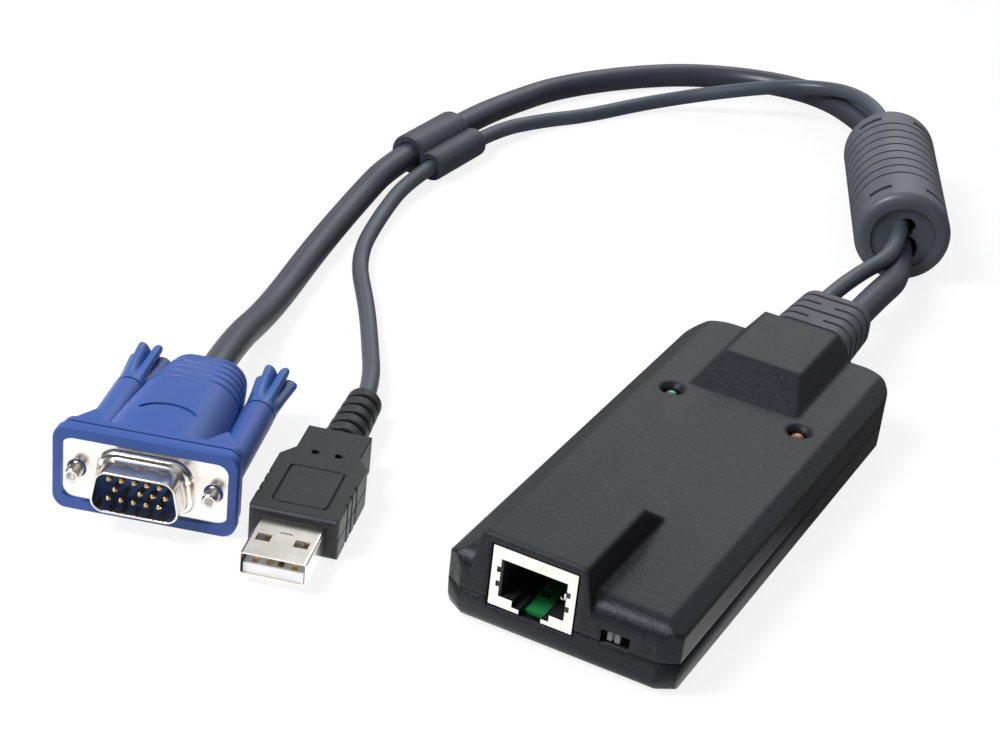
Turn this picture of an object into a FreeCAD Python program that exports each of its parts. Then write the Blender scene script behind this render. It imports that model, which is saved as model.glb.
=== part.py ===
import FreeCAD, Part
import math
import os
import re

import Sketcher

# KVM dongle: a flat housing with a network socket at one end, and a video plug and a keyboard and
# mouse plug on two cables that leave a common strain relief at the other end. Millimetres.
# Origin: middle of the housing's underside. +Z up, the network socket faces -Y, the cables leave
# towards +Y. Everything that lies on the table (ferrite, clip, cables, plugs) touches Z = 0.

V = FreeCAD.Vector

# ----------------------------------------------------------------------------- driving dimensions
SIZES = {
    # housing
    "body_width": 43.5, "body_length": 106.0, "seam_height": 6.3, "seam_gap": 0.25, "wall": 1.8,
    "side_top": 11.75, "deck_height": 13.6, "bevel_width": 3.4, "roof": 1.6, "front_round": 4.0,
    "rear_corner": 8.0, "front_cut_x": 3.2, "front_cut_y": 2.0, "sole_round": 2.8,
    "side_taper": 0.55, "lip_height": 1.6, "lip_wall": 0.8, "lip_gap": 0.15,
    # raised part of the deck over the network socket
    "hump_width": 19.3, "hump_height": 19.0, "hump_length": 22.8, "hump_ramp": 7.6,
    "hump_draft": 1.1, "crest_edge": 0.5, "hump_x": -5.5,
    # raised part of the deck over the cable entry
    "tunnel_top_width": 15.6, "tunnel_base_width": 22.6, "tunnel_height": 18.5,
    "tunnel_length": 20.5, "tunnel_ramp": 8.2, "tunnel_roof": 1.7, "tunnel_side": 1.9,
    "tunnel_edge": 0.8, "step_down": 1.0, "step_in": 1.9, "jack_side": 0.6,
    # circuit board and what fastens it
    "board_bottom": 3.8, "board_thick": 1.6, "board_inset": 0.5, "board_from_rear": 12.0,
    "post_in": 3.75, "post_from_front": 19.0, "post_from_rear": 18.0, "post_dia": 5.0,
    "screw_dia": 2.0, "screw_play": 0.3, "screw_head_dia": 3.8, "screw_head_high": 1.0,
    "screw_sink": 0.3, "screw_reach": 10.6, "head_play": 0.25, "sole_post_dia": 6.4,
    "screw_slot_long": 2.2, "screw_slot_wide": 0.6, "screw_slot_deep": 0.6,
    # network socket
    "jack_x": -5.15, "jack_width": 15.8, "jack_height": 11.8, "jack_depth": 18.5,
    "jack_recess": 0.15, "jack_gap": 0.4, "shield_sheet": 0.4, "mouth_width": 12.4,
    "notch_deep": 0.7, "notch_tall": 1.1, "mouth_height": 7.4, "mouth_drop": 2.3,
    "latch_width": 7.0, "latch_drop": 1.3,
    "key_width": 4.2, "socket_step": 0.3, "socket_depth": 13.0, "contact_pitch": 1.02,
    "contact_wide": 0.46, "contact_root": 0.4, "contact_tip": 2.3, "contact_run": 8.5,
    "chip_side": 14.0, "chip_from_side": 8.95, "chip_high": 1.4, "crystal_long": 11.0, "crystal_high": 3.6,
    "magnet_high": 3.8, "header_x": 4.2, "header_y": 32.0, "header_long": 8.0,
    "header_deep": 4.0, "header_high": 4.4,
    # recovery switch
    "window_x": 10.6, "window_width": 5.3, "window_height": 2.7, "switch_width": 8.4,
    "switch_deep": 3.4, "switch_high": 3.6, "switch_back": 0.3, "knob_wide": 2.3,
    "knob_high": 2.0, "knob_sunk": 0.9, "stem_high": 1.1, "stem_deep": 1.5, "knob_notch": 0.5,
    "knob_home": -0.6, "knob_travel": 1.5, "knob_play": 0.3,
    # indicator lamps
    "lamp_x": 13.1, "lamp_y": 20.3, "lamp_dia": 3.0, "lamp_top": 12.9, "lamp_body": 4.2,
    "well_dia": 5.2, "well_depth": 1.0, "lamp_play": 0.2,
    "lead_side": 0.5, "lead_play": 0.15, "lead_pitch": 2.54,
    # strain relief
    "boot_x": 0.0, "boot_z": 10.0, "boot_width": 17.6, "boot_height": 11.8,
    "boot_end_width": 15.8, "boot_end_height": 10.4, "boot_length": 22.5, "boot_corner": 4.4,
    "neck_inset": 1.3, "neck_play": 0.1, "flange_thick": 1.6, "boot_groove": 1.0,
    "boot_top_deep": 1.2, "boot_side_deep": 1.9, "boot_pitch": 3.5, "boot_first": 5.0,
    "boot_bridge": 3.2, "boot_edge": 0.8, "cable_seat": 6.0,
    "wire_step": 1.8, "wire_bend": 3.6, "wire_run": 6.0,
    "video_exit_x": 3.6, "video_exit_z": 0.3, "usb_exit_x": 4.3, "usb_exit_z": 0.9,
    # cables
    "video_dia": 6.0, "usb_dia": 3.6,
    # ferrite
    "ferrite_x": -1.0, "ferrite_y": 120.5, "ferrite_turn": 23.5, "ferrite_dia": 21.6,
    "ferrite_length": 50.0, "ferrite_edge": 2.0, "ferrite_dish_dia": 14.8,
    "ferrite_dish_deep": 0.7, "ferrite_side": 0.4, "ferrite_video_drop": 2.75,
    "ferrite_usb_rise": 2.6, "bore_play": 0.35, "ring_count": 8, "ring_pitch": 4.1,
    "ring_wide": 0.7, "ring_deep": 0.35, "ring_shift": 1.8, "slot_from_end": 5.5,
    "slot_wide": 1.5, "slot_deep": 1.2, "slot_tilt": 36.0, "slot_span": 30.0, "slit_from_end": 9.5,
    "slit_wide": 0.5, "slit_span": 9.0, "core_dia": 17.4, "core_bore": 12.6, "core_length": 30.0,
    "core_play": 0.1, "parting_wide": 0.3, "parting_deep": 0.15,
    # clip
    "clip_x": -112.7, "clip_y": 108.3, "clip_turn": -2.8, "clip_length": 20.0,
    "clip_wall": 1.6, "clip_play": 0.15, "clip_pitch": 6.2, "clip_edge": 0.6,
    # video plug, in its own frame: nose towards -Y, flange plane at Y = 0
    "video_x": -78.2, "video_y": -60.1, "video_turn": 17.5, "video_z": 8.4,
    "rim_width": 33.8, "rim_height": 16.8, "rim_corner": 2.2, "rim_proud": 0.6,
    "rim_deep": 1.8, "plate_deep": 4.6, "plate_inset": 0.35,
    "flange_width": 30.4, "flange_height": 12.7, "flange_corner": 1.0, "flange_thick_v": 0.8,
    "shell_wide": 16.9, "shell_tall": 8.3, "shell_slant": 10.0, "shell_corner": 2.4,
    "shell_proud": 6.1, "shell_sheet": 0.4, "insert_sunk": 5.2, "pin_dia": 1.0,
    "pin_pitch": 2.29, "pin_row": 1.98, "pin_short": 1.2, "screw_spread": 24.99,
    "tip_dia": 2.84, "tip_proud": 3.0, "tip_long": 2.2, "tip_relief": 0.25,
    "shaft_dia": 3.2, "shaft_play": 0.08,
    "press_wide": 1.8, "press_long": 1.5, "press_step": 3.9, "press_deep": 0.2,
    "flange_hole": 3.6, "barrel_dia": 6.3, "barrel_length": 28.5, "grip_length": 13.2,
    "grip_start": 3.1, "grip_end": 4.1, "flute_reach": 3.9, "flute_dia": 2.5, "grip_gap": 0.3,
    "shaft_in_knob": 6.0,
    "hood_length": 39.0, "hood_front_wide": 22.2, "hood_front_tall": 15.4,
    "hood_mid_wide": 19.0, "hood_mid_tall": 13.4, "hood_end_wide": 14.8, "hood_end_tall": 9.4,
    "hood_mid": 25.5, "hood_corner": 0.45, "hood_edge": 1.2, "hood_ring": 0.7,
    "hood_ring_deep": 0.7, "hood_ring_first": 1.0, "hood_ring_pitch": 2.6,
    "crescent_wide": 10.6, "crescent_at": 11.6, "crescent_bow": 3.4, "crescent_line": 0.7,
    "crescent_deep": 1.1, "gusset_reach": 5.4, "gusset_tall": 14.0, "insulator_back": 6.0, "video_seat": 6.0,
    # usb plug, in its own frame: nose towards -Y, mouth of the metal shell at Y = 0
    "usb_x": -48.6, "usb_y": -64.3, "usb_turn": 15.9, "usb_z": 4.0, "usb_shell_wide": 12.0,
    "usb_shell_tall": 4.5, "usb_shell_sheet": 0.3, "usb_shell_proud": 11.6,
    "usb_shell_corner": 0.6, "usb_tongue_thick": 1.84, "grip_wide": 16.4, "grip_tall": 8.0,
    "grip_long": 19.4, "shoulder_long": 3.0, "rear_wide": 12.2, "rear_long": 8.0,
    "usb_edge": 1.0, "panel_wide": 10.4, "panel_long": 13.0, "panel_deep": 0.4,
    "panel_from": 3.2, "usb_tail": 5.0, "usb_seat": 6.0, "latch_x": 3.4, "latch_y": 5.6,
    "latch_wide": 2.6, "latch_long": 2.2, "tongue_sunk": 0.5, "tongue_long": 8.6,
    "contact_in": 1.0, "contact_out": 3.5, "usb_contact": 1.0,
    "seam_wide": 0.3, "seam_deep": 0.2, "rib_deep": 0.4, "rib_wide": 0.9, "rib_first": 2.4,
    "rib_pitch": 3.0, "dimple_dia": 1.5, "dimple_pitch": 4.4, "usb_boot_long": 18.0, "usb_boot_dia": 8.0,
    "usb_boot_end": 7.0, "usb_boot_rings": 5, "usb_boot_ring": 1.1, "usb_boot_deep": 0.8,
}

doc = FreeCAD.newDocument("kvm_dongle")
sheet = doc.addObject("Spreadsheet::Sheet", "Sizes")
for row, (alias, value) in enumerate(SIZES.items(), 1):
    sheet.set(f"A{row}", alias)
    sheet.set(f"B{row}", str(value))
    sheet.setAlias(f"B{row}", alias)
doc.recompute()
WORD = re.compile(r"\b(" + "|".join(sorted(SIZES, key=len, reverse=True)) + r")\b")
PARTS = []


# ------------------------------------------------------------------------------- modelling helpers
def formula(text):
    """Turn 'body_width / 2' into an expression on the sheet."""
    return WORD.sub(r"Sizes.\1", text)


def value(text):
    """Number that an expression on the sheet gives now."""
    return float(sheet.evalExpression(formula(text)))


def bind(sketch, kind, where, text):
    """Add a dimension to a sketch and bind it to the sheet."""
    number = sketch.addConstraint(Sketcher.Constraint(kind, *where, value(text)))
    sketch.setExpression(f"Constraints[{number}]", formula(text))


def pin_point(sketch, item, end, x, y):
    """Hold one point of a sketch at (x, y)."""
    bind(sketch, "DistanceX", (-1, 1, item, end), x)
    bind(sketch, "DistanceY", (-1, 1, item, end), y)


def circle(sketch, x, y, diameter):
    """Draw a circle about (x, y)."""
    item = sketch.addGeometry(Part.Circle(V(value(x), value(y), 0), V(0, 0, 1), value(diameter) / 2))
    pin_point(sketch, item, 3, x, y)
    bind(sketch, "Diameter", (item,), diameter)


def round_corner(sketch, corner, before, after, ends, at):
    """Put a tangent arc in one corner of an outline."""
    arrive, leave = ends
    inward_a, inward_b = (arrive - at).normalize(), (leave - at).normalize()
    half = inward_a.getAngle(inward_b) / 2
    middle = at + (inward_a + inward_b).normalize() * (value(corner[2]) / math.sin(half))
    left_turn = (at - arrive).cross(leave - at).z > 0
    first, last = (arrive, leave) if left_turn else (leave, arrive)
    angles = [math.atan2(p.y - middle.y, p.x - middle.x) for p in (first, last)]
    ring = Part.Circle(middle, V(0, 0, 1), value(corner[2]))
    arc = sketch.addGeometry(Part.ArcOfCircle(ring, *angles))
    mark = sketch.addGeometry(Part.Point(at), True)
    pin_point(sketch, mark, 1, corner[0], corner[1])
    start, end = (1, 2) if left_turn else (2, 1)
    for rule in (("PointOnObject", mark, 1, before), ("PointOnObject", mark, 1, after),
                 ("Tangent", before, 2, arc, start), ("Tangent", arc, end, after, 1)):
        sketch.addConstraint(Sketcher.Constraint(*rule))
    bind(sketch, "Radius", (arc,), corner[2])


def outline(sketch, corners):
    """Draw a closed outline through corners (x, y) or, rounded, (x, y, radius)."""
    points = [V(value(c[0]), value(c[1]), 0) for c in corners]
    count, ends = len(corners), []
    for i, corner in enumerate(corners):
        if len(corner) == 2:
            ends.append((points[i], points[i]))
            continue
        back = (points[i - 1] - points[i]).normalize()
        ahead = (points[(i + 1) % count] - points[i]).normalize()
        reach = value(corner[2]) / math.tan(back.getAngle(ahead) / 2)
        ends.append((points[i] + back * reach, points[i] + ahead * reach))
    sides = [sketch.addGeometry(Part.LineSegment(ends[i][1], ends[(i + 1) % count][0]))
             for i in range(count)]
    for i, corner in enumerate(corners):
        if len(corner) == 2:
            sketch.addConstraint(Sketcher.Constraint("Coincident", sides[i - 1], 2, sides[i], 1))
            pin_point(sketch, sides[i], 1, *corner)
        else:
            round_corner(sketch, corner, sides[i - 1], sides[i], ends[i], points[i])


def box(sketch, x_low, x_high, y_low, y_high, radius=None):
    """Draw a rectangle, with rounded corners if a radius is given."""
    tail = (radius,) if radius else ()
    outline(sketch, [(x, y) + tail for x, y in
                     ((x_low, y_low), (x_high, y_low), (x_high, y_high), (x_low, y_high))])


def centred_box(sketch, x, y, wide, tall, radius=None):
    """Draw a rectangle about (x, y)."""
    box(sketch, f"{x} - ({wide}) / 2", f"{x} + ({wide}) / 2", f"{y} - ({tall}) / 2",
        f"{y} + ({tall}) / 2", radius)


def within(**limits):
    """Make a test for edges that lie wholly inside the given ranges of x, y and z."""
    def test(edge):
        bounds = edge.BoundBox
        for axis, (low, high) in limits.items():
            axis = axis.upper()
            if getattr(bounds, axis + "Min") < low - 0.02 or getattr(bounds, axis + "Max") > high + 0.02:
                return False
        return True
    return test


def sloping(y_low, y_high, z_low, z_high):
    """Make a test for the edges that climb a ramp between two places and two heights."""
    inside = within(y=(y_low, y_high), z=(z_low, z_high))

    def test(edge):
        return inside(edge) and edge.BoundBox.ZLength > (z_high - z_low) / 2
    return test


class Maker:
    """One named PartDesign body and the steps that build it."""

    def __init__(self, node, place=None):
        self.node = node
        self.body = doc.addObject("PartDesign::Body", node)
        self.body.Label = node
        self.body.AllowCompound = True
        if place:
            self.body.setExpression("Placement", formula(place))
        self.steps = 0
        PARTS.append(self.body)

    def sketch(self, plane="XY", lift="0", tilt=None):
        """New sketch on a base plane, moved along its normal and tilted about its own Y."""
        self.steps += 1
        sketch = self.body.newObject("Sketcher::SketchObject", f"{self.node}_sketch{self.steps}")
        base = [f for f in self.body.Origin.OriginFeatures if f.Role == plane + "_Plane"][0]
        sketch.AttachmentSupport = (base, [""])
        sketch.MapMode = "FlatFace"
        if tilt:
            sketch.setExpression("AttachmentOffset", formula(
                f"placement(vector(0; 0; 0); rotation(vector(0; 1; 0); {tilt}))"))
        elif lift != "0":
            sketch.setExpression(".AttachmentOffset.Base.z", formula(lift))
        return sketch

    def feature(self, kind, sketch):
        """New feature made from a sketch."""
        self.steps += 1
        feature = self.body.newObject("PartDesign::" + kind, f"{self.node}_{kind.lower()}{self.steps}")
        feature.Profile = sketch
        return feature

    def pad(self, sketch, length, flip=False, both=False):
        """Pad a sketch along its normal."""
        feature = self.feature("Pad", sketch)
        feature.setExpression("Length", formula(length))
        feature.Reversed = flip
        if both:
            feature.SideType = "Symmetric"

    def cut(self, sketch, length=None, flip=False, both=False):
        """Pocket a sketch against its normal, or right through."""
        feature = self.feature("Pocket", sketch)
        if length:
            feature.setExpression("Length", formula(length))
        else:
            feature.Type = "ThroughAll"
        feature.Reversed = flip
        if both:
            feature.SideType = "Symmetric"

    def spin(self, sketch, hollow=False, angle=None):
        """Revolve a sketch about its own upright axis."""
        feature = self.feature("Groove" if hollow else "Revolution", sketch)
        feature.ReferenceAxis = (sketch, ["V_Axis"])
        if angle:
            feature.setExpression("Angle", formula(angle))
            feature.Midplane = True
        return feature

    def loft(self, first, last, hollow=False):
        """Join two sketches with flat sides."""
        feature = self.feature("SubtractiveLoft" if hollow else "AdditiveLoft", first)
        feature.Sections = [last]
        feature.Ruled = True

    def edge_names(self, test):
        """Names of the body's edges that pass a test."""
        doc.recompute()
        shape = self.body.Tip.Shape
        names = [f"Edge{i}" for i, edge in enumerate(shape.Edges, 1) if test(edge)]
        if not names:
            raise RuntimeError(f"{self.node}: no edge found for step {self.steps}")
        return self.body.Tip, names

    def soften(self, radius, *tests):
        """Round the edges that pass any of the tests."""
        found = self.edge_names(lambda edge: any(test(edge) for test in tests))
        self.steps += 1
        feature = self.body.newObject("PartDesign::Fillet", f"{self.node}_round{self.steps}")
        feature.Base = found
        feature.setExpression("Radius", formula(radius))

    def bevel(self, size, test, second=None):
        """Chamfer the edges that pass a test."""
        found = self.edge_names(test)
        self.steps += 1
        feature = self.body.newObject("PartDesign::Chamfer", f"{self.node}_bevel{self.steps}")
        feature.Base = found
        feature.setExpression("Size", formula(size))
        if second:
            feature.ChamferType = "Two distances"
            feature.setExpression("Size2", formula(second))


# ----------------------------------------------------------------------------------------- housing
FAR = 999.0
FRONT, REAR = "-body_length / 2", "body_length / 2"
INNER_X, INNER_Y = "(body_width / 2 - wall)", "(body_length / 2 - wall)"
BOARD_TOP = "(board_bottom + board_thick)"
JACK_LEFT, JACK_RIGHT = "(jack_x - jack_width / 2)", "(jack_x + jack_width / 2)"


def footprint(sketch, inset="0", front_radius=None):
    """Plan outline of the housing, drawn in by an inset, with rounded rear corners."""
    x, y = f"(body_width / 2 - ({inset}))", f"(body_length / 2 - ({inset}))"
    rear = f"rear_corner - ({inset})"
    front = (front_radius,) if front_radius else ()
    outline(sketch, [(f"-{x}", f"-{y}") + front, (x, f"-{y}") + front, (x, y, rear),
                     (f"-{x}", y, rear)])


def cut_front_corners(shell):
    """Cut the two front corners of a shell at a slant."""
    for sign in ("-", ""):
        sketch = shell.sketch("XY", "0")
        side = f"{sign}(body_width / 2"
        points = [(f"{side} - front_cut_x)", FRONT), (f"{side} + 1)", f"{FRONT} - 1"),
                  (f"{side} + 1)", f"{FRONT} + front_cut_y + front_cut_y / front_cut_x")]
        outline(sketch, points if sign == "" else points[::-1])
        shell.cut(sketch, both=True)


def post_places():
    """Centres of the four posts."""
    return [(f"{sx}({INNER_X} - post_in)", y) for sx in ("-", "")
            for y in (f"({FRONT} + post_from_front)", f"({REAR} - post_from_rear)")]


def raised_part(shell, middle, top_wide, draft, near, length, ramp, top, sunk):
    """Loft a raised part that starts inside the shell and ends flush with an end face."""
    low = f"(deck_height - {sunk})"
    ratio = f"(({top}) - {low}) / (({top}) - deck_height)"
    sign = "" if near == FRONT else "-"
    for_base = shell.sketch("XY", low)
    for_top = shell.sketch("XY", top)
    for sketch, spread, run in ((for_base, f"{draft} * {ratio}", f"{length} + {ramp} * {ratio}"),
                                (for_top, "0", length)):
        x_low = f"{middle} - {top_wide} / 2 - {spread}"
        x_high = f"{middle} + {top_wide} / 2 + {spread}"
        far = f"{near} + ({run})" if sign == "" else f"{near} - ({run})"
        low_y, high_y = (near, far) if sign == "" else (far, near)
        box(sketch, x_low, x_high, low_y, high_y)
    shell.loft(for_base, for_top)
    crest, deck = value(top), value("deck_height")
    ramp_low, ramp_high = sorted(value(f"{near} {'+' if sign == '' else '-'} ({run})")
                                 for run in (length, f"{length} + {ramp}"))
    shell.soften("crest_edge", sloping(ramp_low, ramp_high, deck, crest))
    shell.soften("crest_edge", within(z=(crest, crest)))


def upper_shell():
    """Upper half of the housing with its two raised parts."""
    shell = Maker("upper_shell")
    base = "(seam_height + seam_gap)"
    sketch = shell.sketch("XY", base)
    footprint(sketch)
    shell.pad(sketch, f"deck_height - {base}")
    front, deck = value(FRONT), value("deck_height")
    shell.soften("front_round", within(y=(front, front), z=(deck, deck)))
    shell.soften("tunnel_edge", within(y=(value(REAR), value(REAR)), z=(deck, deck)))
    for sign in ("-", ""):
        sketch = shell.sketch("XZ")
        side = f"{sign}(body_width / 2"
        points = [(f"{side})", "side_top"),
                  (f"{side} + 1)", "side_top - (deck_height - side_top) / bevel_width"),
                  (f"{side} + 1)", "deck_height + 1"),
                  (f"{side} - bevel_width)", "deck_height + 1"),
                  (f"{side} - bevel_width)", "deck_height")]
        outline(sketch, points if sign == "" else points[::-1])
        shell.cut(sketch, both=True)
    cut_front_corners(shell)
    raised_part(shell, "hump_x", "hump_width", "hump_draft", FRONT, "hump_length", "hump_ramp",
                "hump_height", "front_round")
    raised_part(shell, "0", "tunnel_top_width", "(tunnel_base_width - tunnel_top_width) / 2", REAR,
                "tunnel_length", "tunnel_ramp", "tunnel_height", "tunnel_edge")
    shell_cavity(shell, base)
    shell_openings(shell, base)
    return shell


def shell_cavity(shell, base):
    """Hollow the upper shell and add its screw posts."""
    for inset, top, radius in (("wall", "deck_height - roof - step_down", "2"),
                               ("wall + step_in", "deck_height - roof", "1")):
        sketch = shell.sketch("XY", base)
        footprint(sketch, inset, radius)
        shell.cut(sketch, f"{top} - {base}", flip=True)
    sketch = shell.sketch("XY", base)
    box(sketch, f"{JACK_LEFT} - jack_side", f"{JACK_RIGHT} + jack_side", f"-{INNER_Y}",
        f"{FRONT} + jack_recess + jack_depth + jack_side")
    shell.cut(sketch, f"{BOARD_TOP} + jack_height + jack_gap - {base}", flip=True)
    low, high = "(deck_height - roof - step_down)", "(tunnel_height - tunnel_roof)"
    slope = "(tunnel_base_width - tunnel_top_width) / 2 / (tunnel_height - deck_height)"
    lean = "tunnel_ramp / (tunnel_height - deck_height)"
    sketches = []
    for level in (low, high):
        sketch = shell.sketch("XY", level)
        half = f"(tunnel_top_width / 2 + (tunnel_height - {level}) * {slope} - tunnel_side)"
        near = f"{REAR} - tunnel_length - (tunnel_height - {level}) * {lean} + 2.4"
        box(sketch, f"-{half}", half, near, INNER_Y)
        sketches.append(sketch)
    shell.loft(*sketches, hollow=True)
    sketch = shell.sketch("XY", base)
    footprint(sketch, "wall - lip_wall - lip_gap", "2")
    shell.cut(sketch, "lip_height - seam_gap", flip=True)
    sketch = shell.sketch("XY", BOARD_TOP)
    for x, y in post_places():
        circle(sketch, x, y, "post_dia")
    shell.pad(sketch, f"deck_height - roof / 2 - {BOARD_TOP}")
    sketch = shell.sketch("XY", BOARD_TOP)
    for x, y in post_places():
        circle(sketch, x, y, "screw_dia")
    shell.cut(sketch, f"screw_reach + 0.6 - {BOARD_TOP}", flip=True)


def shell_openings(shell, base):
    """Cut the socket opening, the switch window, the cable opening and the lamp wells."""
    sketch = shell.sketch("XY", base)
    box(sketch, f"{JACK_LEFT} - jack_gap", f"{JACK_RIGHT} + jack_gap", f"{FRONT} - 1",
        f"-{INNER_Y} + 0.5")
    shell.cut(sketch, f"{BOARD_TOP} + jack_height + jack_gap - {base}", flip=True)
    sketch = shell.sketch("XY", base)
    centred_box(sketch, "window_x", FRONT, "window_width", "wall * 2 + 1")
    shell.cut(sketch, f"seam_height + window_height - {base}", flip=True)
    neck_opening(shell)
    sketch = shell.sketch("XY", "deck_height")
    for sign in ("-", ""):
        circle(sketch, f"{sign}lamp_x", "lamp_y", "lamp_dia + 2 * lamp_play")
    shell.cut(sketch, "roof + 1")
    deck = value("deck_height")
    well = value("lamp_y")
    shell.bevel("(well_dia - lamp_dia) / 2 - lamp_play", within(
        y=(well - 3, well + 3), z=(deck, deck)), "well_depth")


def neck_opening(shell):
    """Cut the opening for the neck of the strain relief through the rear wall."""
    sketch = shell.sketch("XZ", f"-{INNER_Y} + 0.5")
    centred_box(sketch, "boot_x", "boot_z", "boot_width - 2 * (neck_inset - neck_play)",
                "boot_height - 2 * (neck_inset - neck_play)", "boot_corner - neck_inset")
    shell.cut(sketch, "wall + 1.5")


def lower_shell():
    """Lower half of the housing with its lip and posts."""
    shell = Maker("lower_shell")
    sketch = shell.sketch()
    footprint(sketch)
    shell.pad(sketch, "seam_height")
    front = value(FRONT)
    shell.soften("sole_round", within(y=(front, front), z=(0, 0)))
    for sign in ("-", ""):
        sketch = shell.sketch("XZ")
        side = f"{sign}(body_width / 2"
        points = [(f"{side})", "seam_height"), (f"{side} - side_taper * (seam_height + 1) / seam_height)",
                                                "-1"), (f"{side} + 1)", "-1"),
                  (f"{side} + 1)", "seam_height")]
        outline(sketch, points if sign == "" else points[::-1])
        shell.cut(sketch, both=True)
    cut_front_corners(shell)
    sketch = shell.sketch("XY", "seam_height")
    footprint(sketch, "wall", "2")
    shell.cut(sketch, "seam_height - wall")
    sketch = shell.sketch("XY", "seam_height")
    footprint(sketch, "wall - lip_wall", "2 + lip_wall")
    footprint(sketch, "wall", "2")
    shell.pad(sketch, "lip_height")
    for low, high, near in ((f"{JACK_LEFT} - 1", "window_x + window_width / 2 + 1", FRONT),
                            ("-boot_width / 2", "boot_width / 2", REAR)):
        sketch = shell.sketch("XY", "seam_height")
        box(sketch, low, high, f"{near} - wall - 0.5", f"{near} + wall + 0.5")
        shell.cut(sketch, "lip_height + 1", flip=True)
    sketch = shell.sketch("XY", "seam_height")
    box(sketch, f"{JACK_LEFT} - jack_gap", f"{JACK_RIGHT} + jack_gap", f"{FRONT} - 1",
        f"-{INNER_Y} + 0.5")
    shell.cut(sketch, f"seam_height - {BOARD_TOP} + jack_gap")
    neck_opening(shell)
    sketch = shell.sketch("XY", "wall - 0.6")
    for x, y in post_places():
        circle(sketch, x, y, "sole_post_dia")
    shell.pad(sketch, "board_bottom - wall + 0.6")
    sketch = shell.sketch()
    for x, y in post_places():
        circle(sketch, x, y, "screw_head_dia + 2 * head_play")
    shell.cut(sketch, "screw_sink + screw_head_high", flip=True)
    sketch = shell.sketch()
    for x, y in post_places():
        circle(sketch, x, y, "screw_dia + 2 * screw_play")
    shell.cut(sketch, "board_bottom + 1", flip=True)


def housing_screws():
    """Four screws that pass the lower shell and the board into the posts of the upper shell."""
    screws = Maker("housing_screws")
    for low, high, size in (("screw_sink", "screw_sink + screw_head_high", "screw_head_dia"),
                            ("screw_sink + screw_head_high", "screw_reach", "screw_dia")):
        sketch = screws.sketch("XY", low)
        for x, y in post_places():
            circle(sketch, x, y, size)
        screws.pad(sketch, f"{high} - ({low})")
    for wide, tall in (("screw_slot_long", "screw_slot_wide"), ("screw_slot_wide", "screw_slot_long")):
        sketch = screws.sketch("XY", "screw_sink")
        for x, y in post_places():
            centred_box(sketch, x, y, wide, tall)
        screws.cut(sketch, "screw_slot_deep", flip=True)


# ------------------------------------------------------------------------ board and what stands on it
def lead_places():
    """Centres of the leads that pass through the board: three of the switch, four of the lamps."""
    row = f"-{INNER_Y} + switch_back + switch_deep + lead_side"
    places = [(f"window_x + {i} * lead_pitch", row) for i in (-1, 0, 1)]
    return places + [(f"{sign}lamp_x {step} lead_pitch / 2.4", "lamp_y")
                     for sign in ("-", "") for step in ("-", "+")]


def circuit_board():
    """Circuit board with its screw holes."""
    board = Maker("circuit_board")
    sketch = board.sketch("XY", "board_bottom")
    half = f"({INNER_X} - board_inset)"
    box(sketch, f"-{half}", half, f"-{INNER_Y} + board_inset", f"{REAR} - board_from_rear",
        "board_inset * 2")
    for x, y in post_places():
        circle(sketch, x, y, "screw_dia + 2 * screw_play")
    for x, y in lead_places():
        centred_box(sketch, x, y, "lead_side + 2 * lead_play", "lead_side + 2 * lead_play")
    board.pad(sketch, "board_thick")


def jack_mouth(part, spread):
    """Cut the stepped mouth of the network socket from the front; spread widens it."""
    top = f"({BOARD_TOP} + jack_height - mouth_drop)"
    floor = f"({top} - mouth_height)"
    sketch = part.sketch("XZ", f"-{FRONT} + 1")
    x = "jack_x"
    halves = [(f"(mouth_width / 2 - {spread})", top), (f"(mouth_width / 2 - {spread})", floor),
              ("(latch_width / 2)", floor), ("(latch_width / 2)", f"({floor} - latch_drop)"),
              ("(key_width / 2)", f"({floor} - latch_drop)"), ("(key_width / 2)", f"({BOARD_TOP} - 1)")]
    right = [(f"{x} + {half}", z) for half, z in halves]
    left = [(f"{x} - {half}", z) for half, z in halves[::-1]]
    outline(sketch, right[::-1] + left[::-1])
    return sketch


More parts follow.
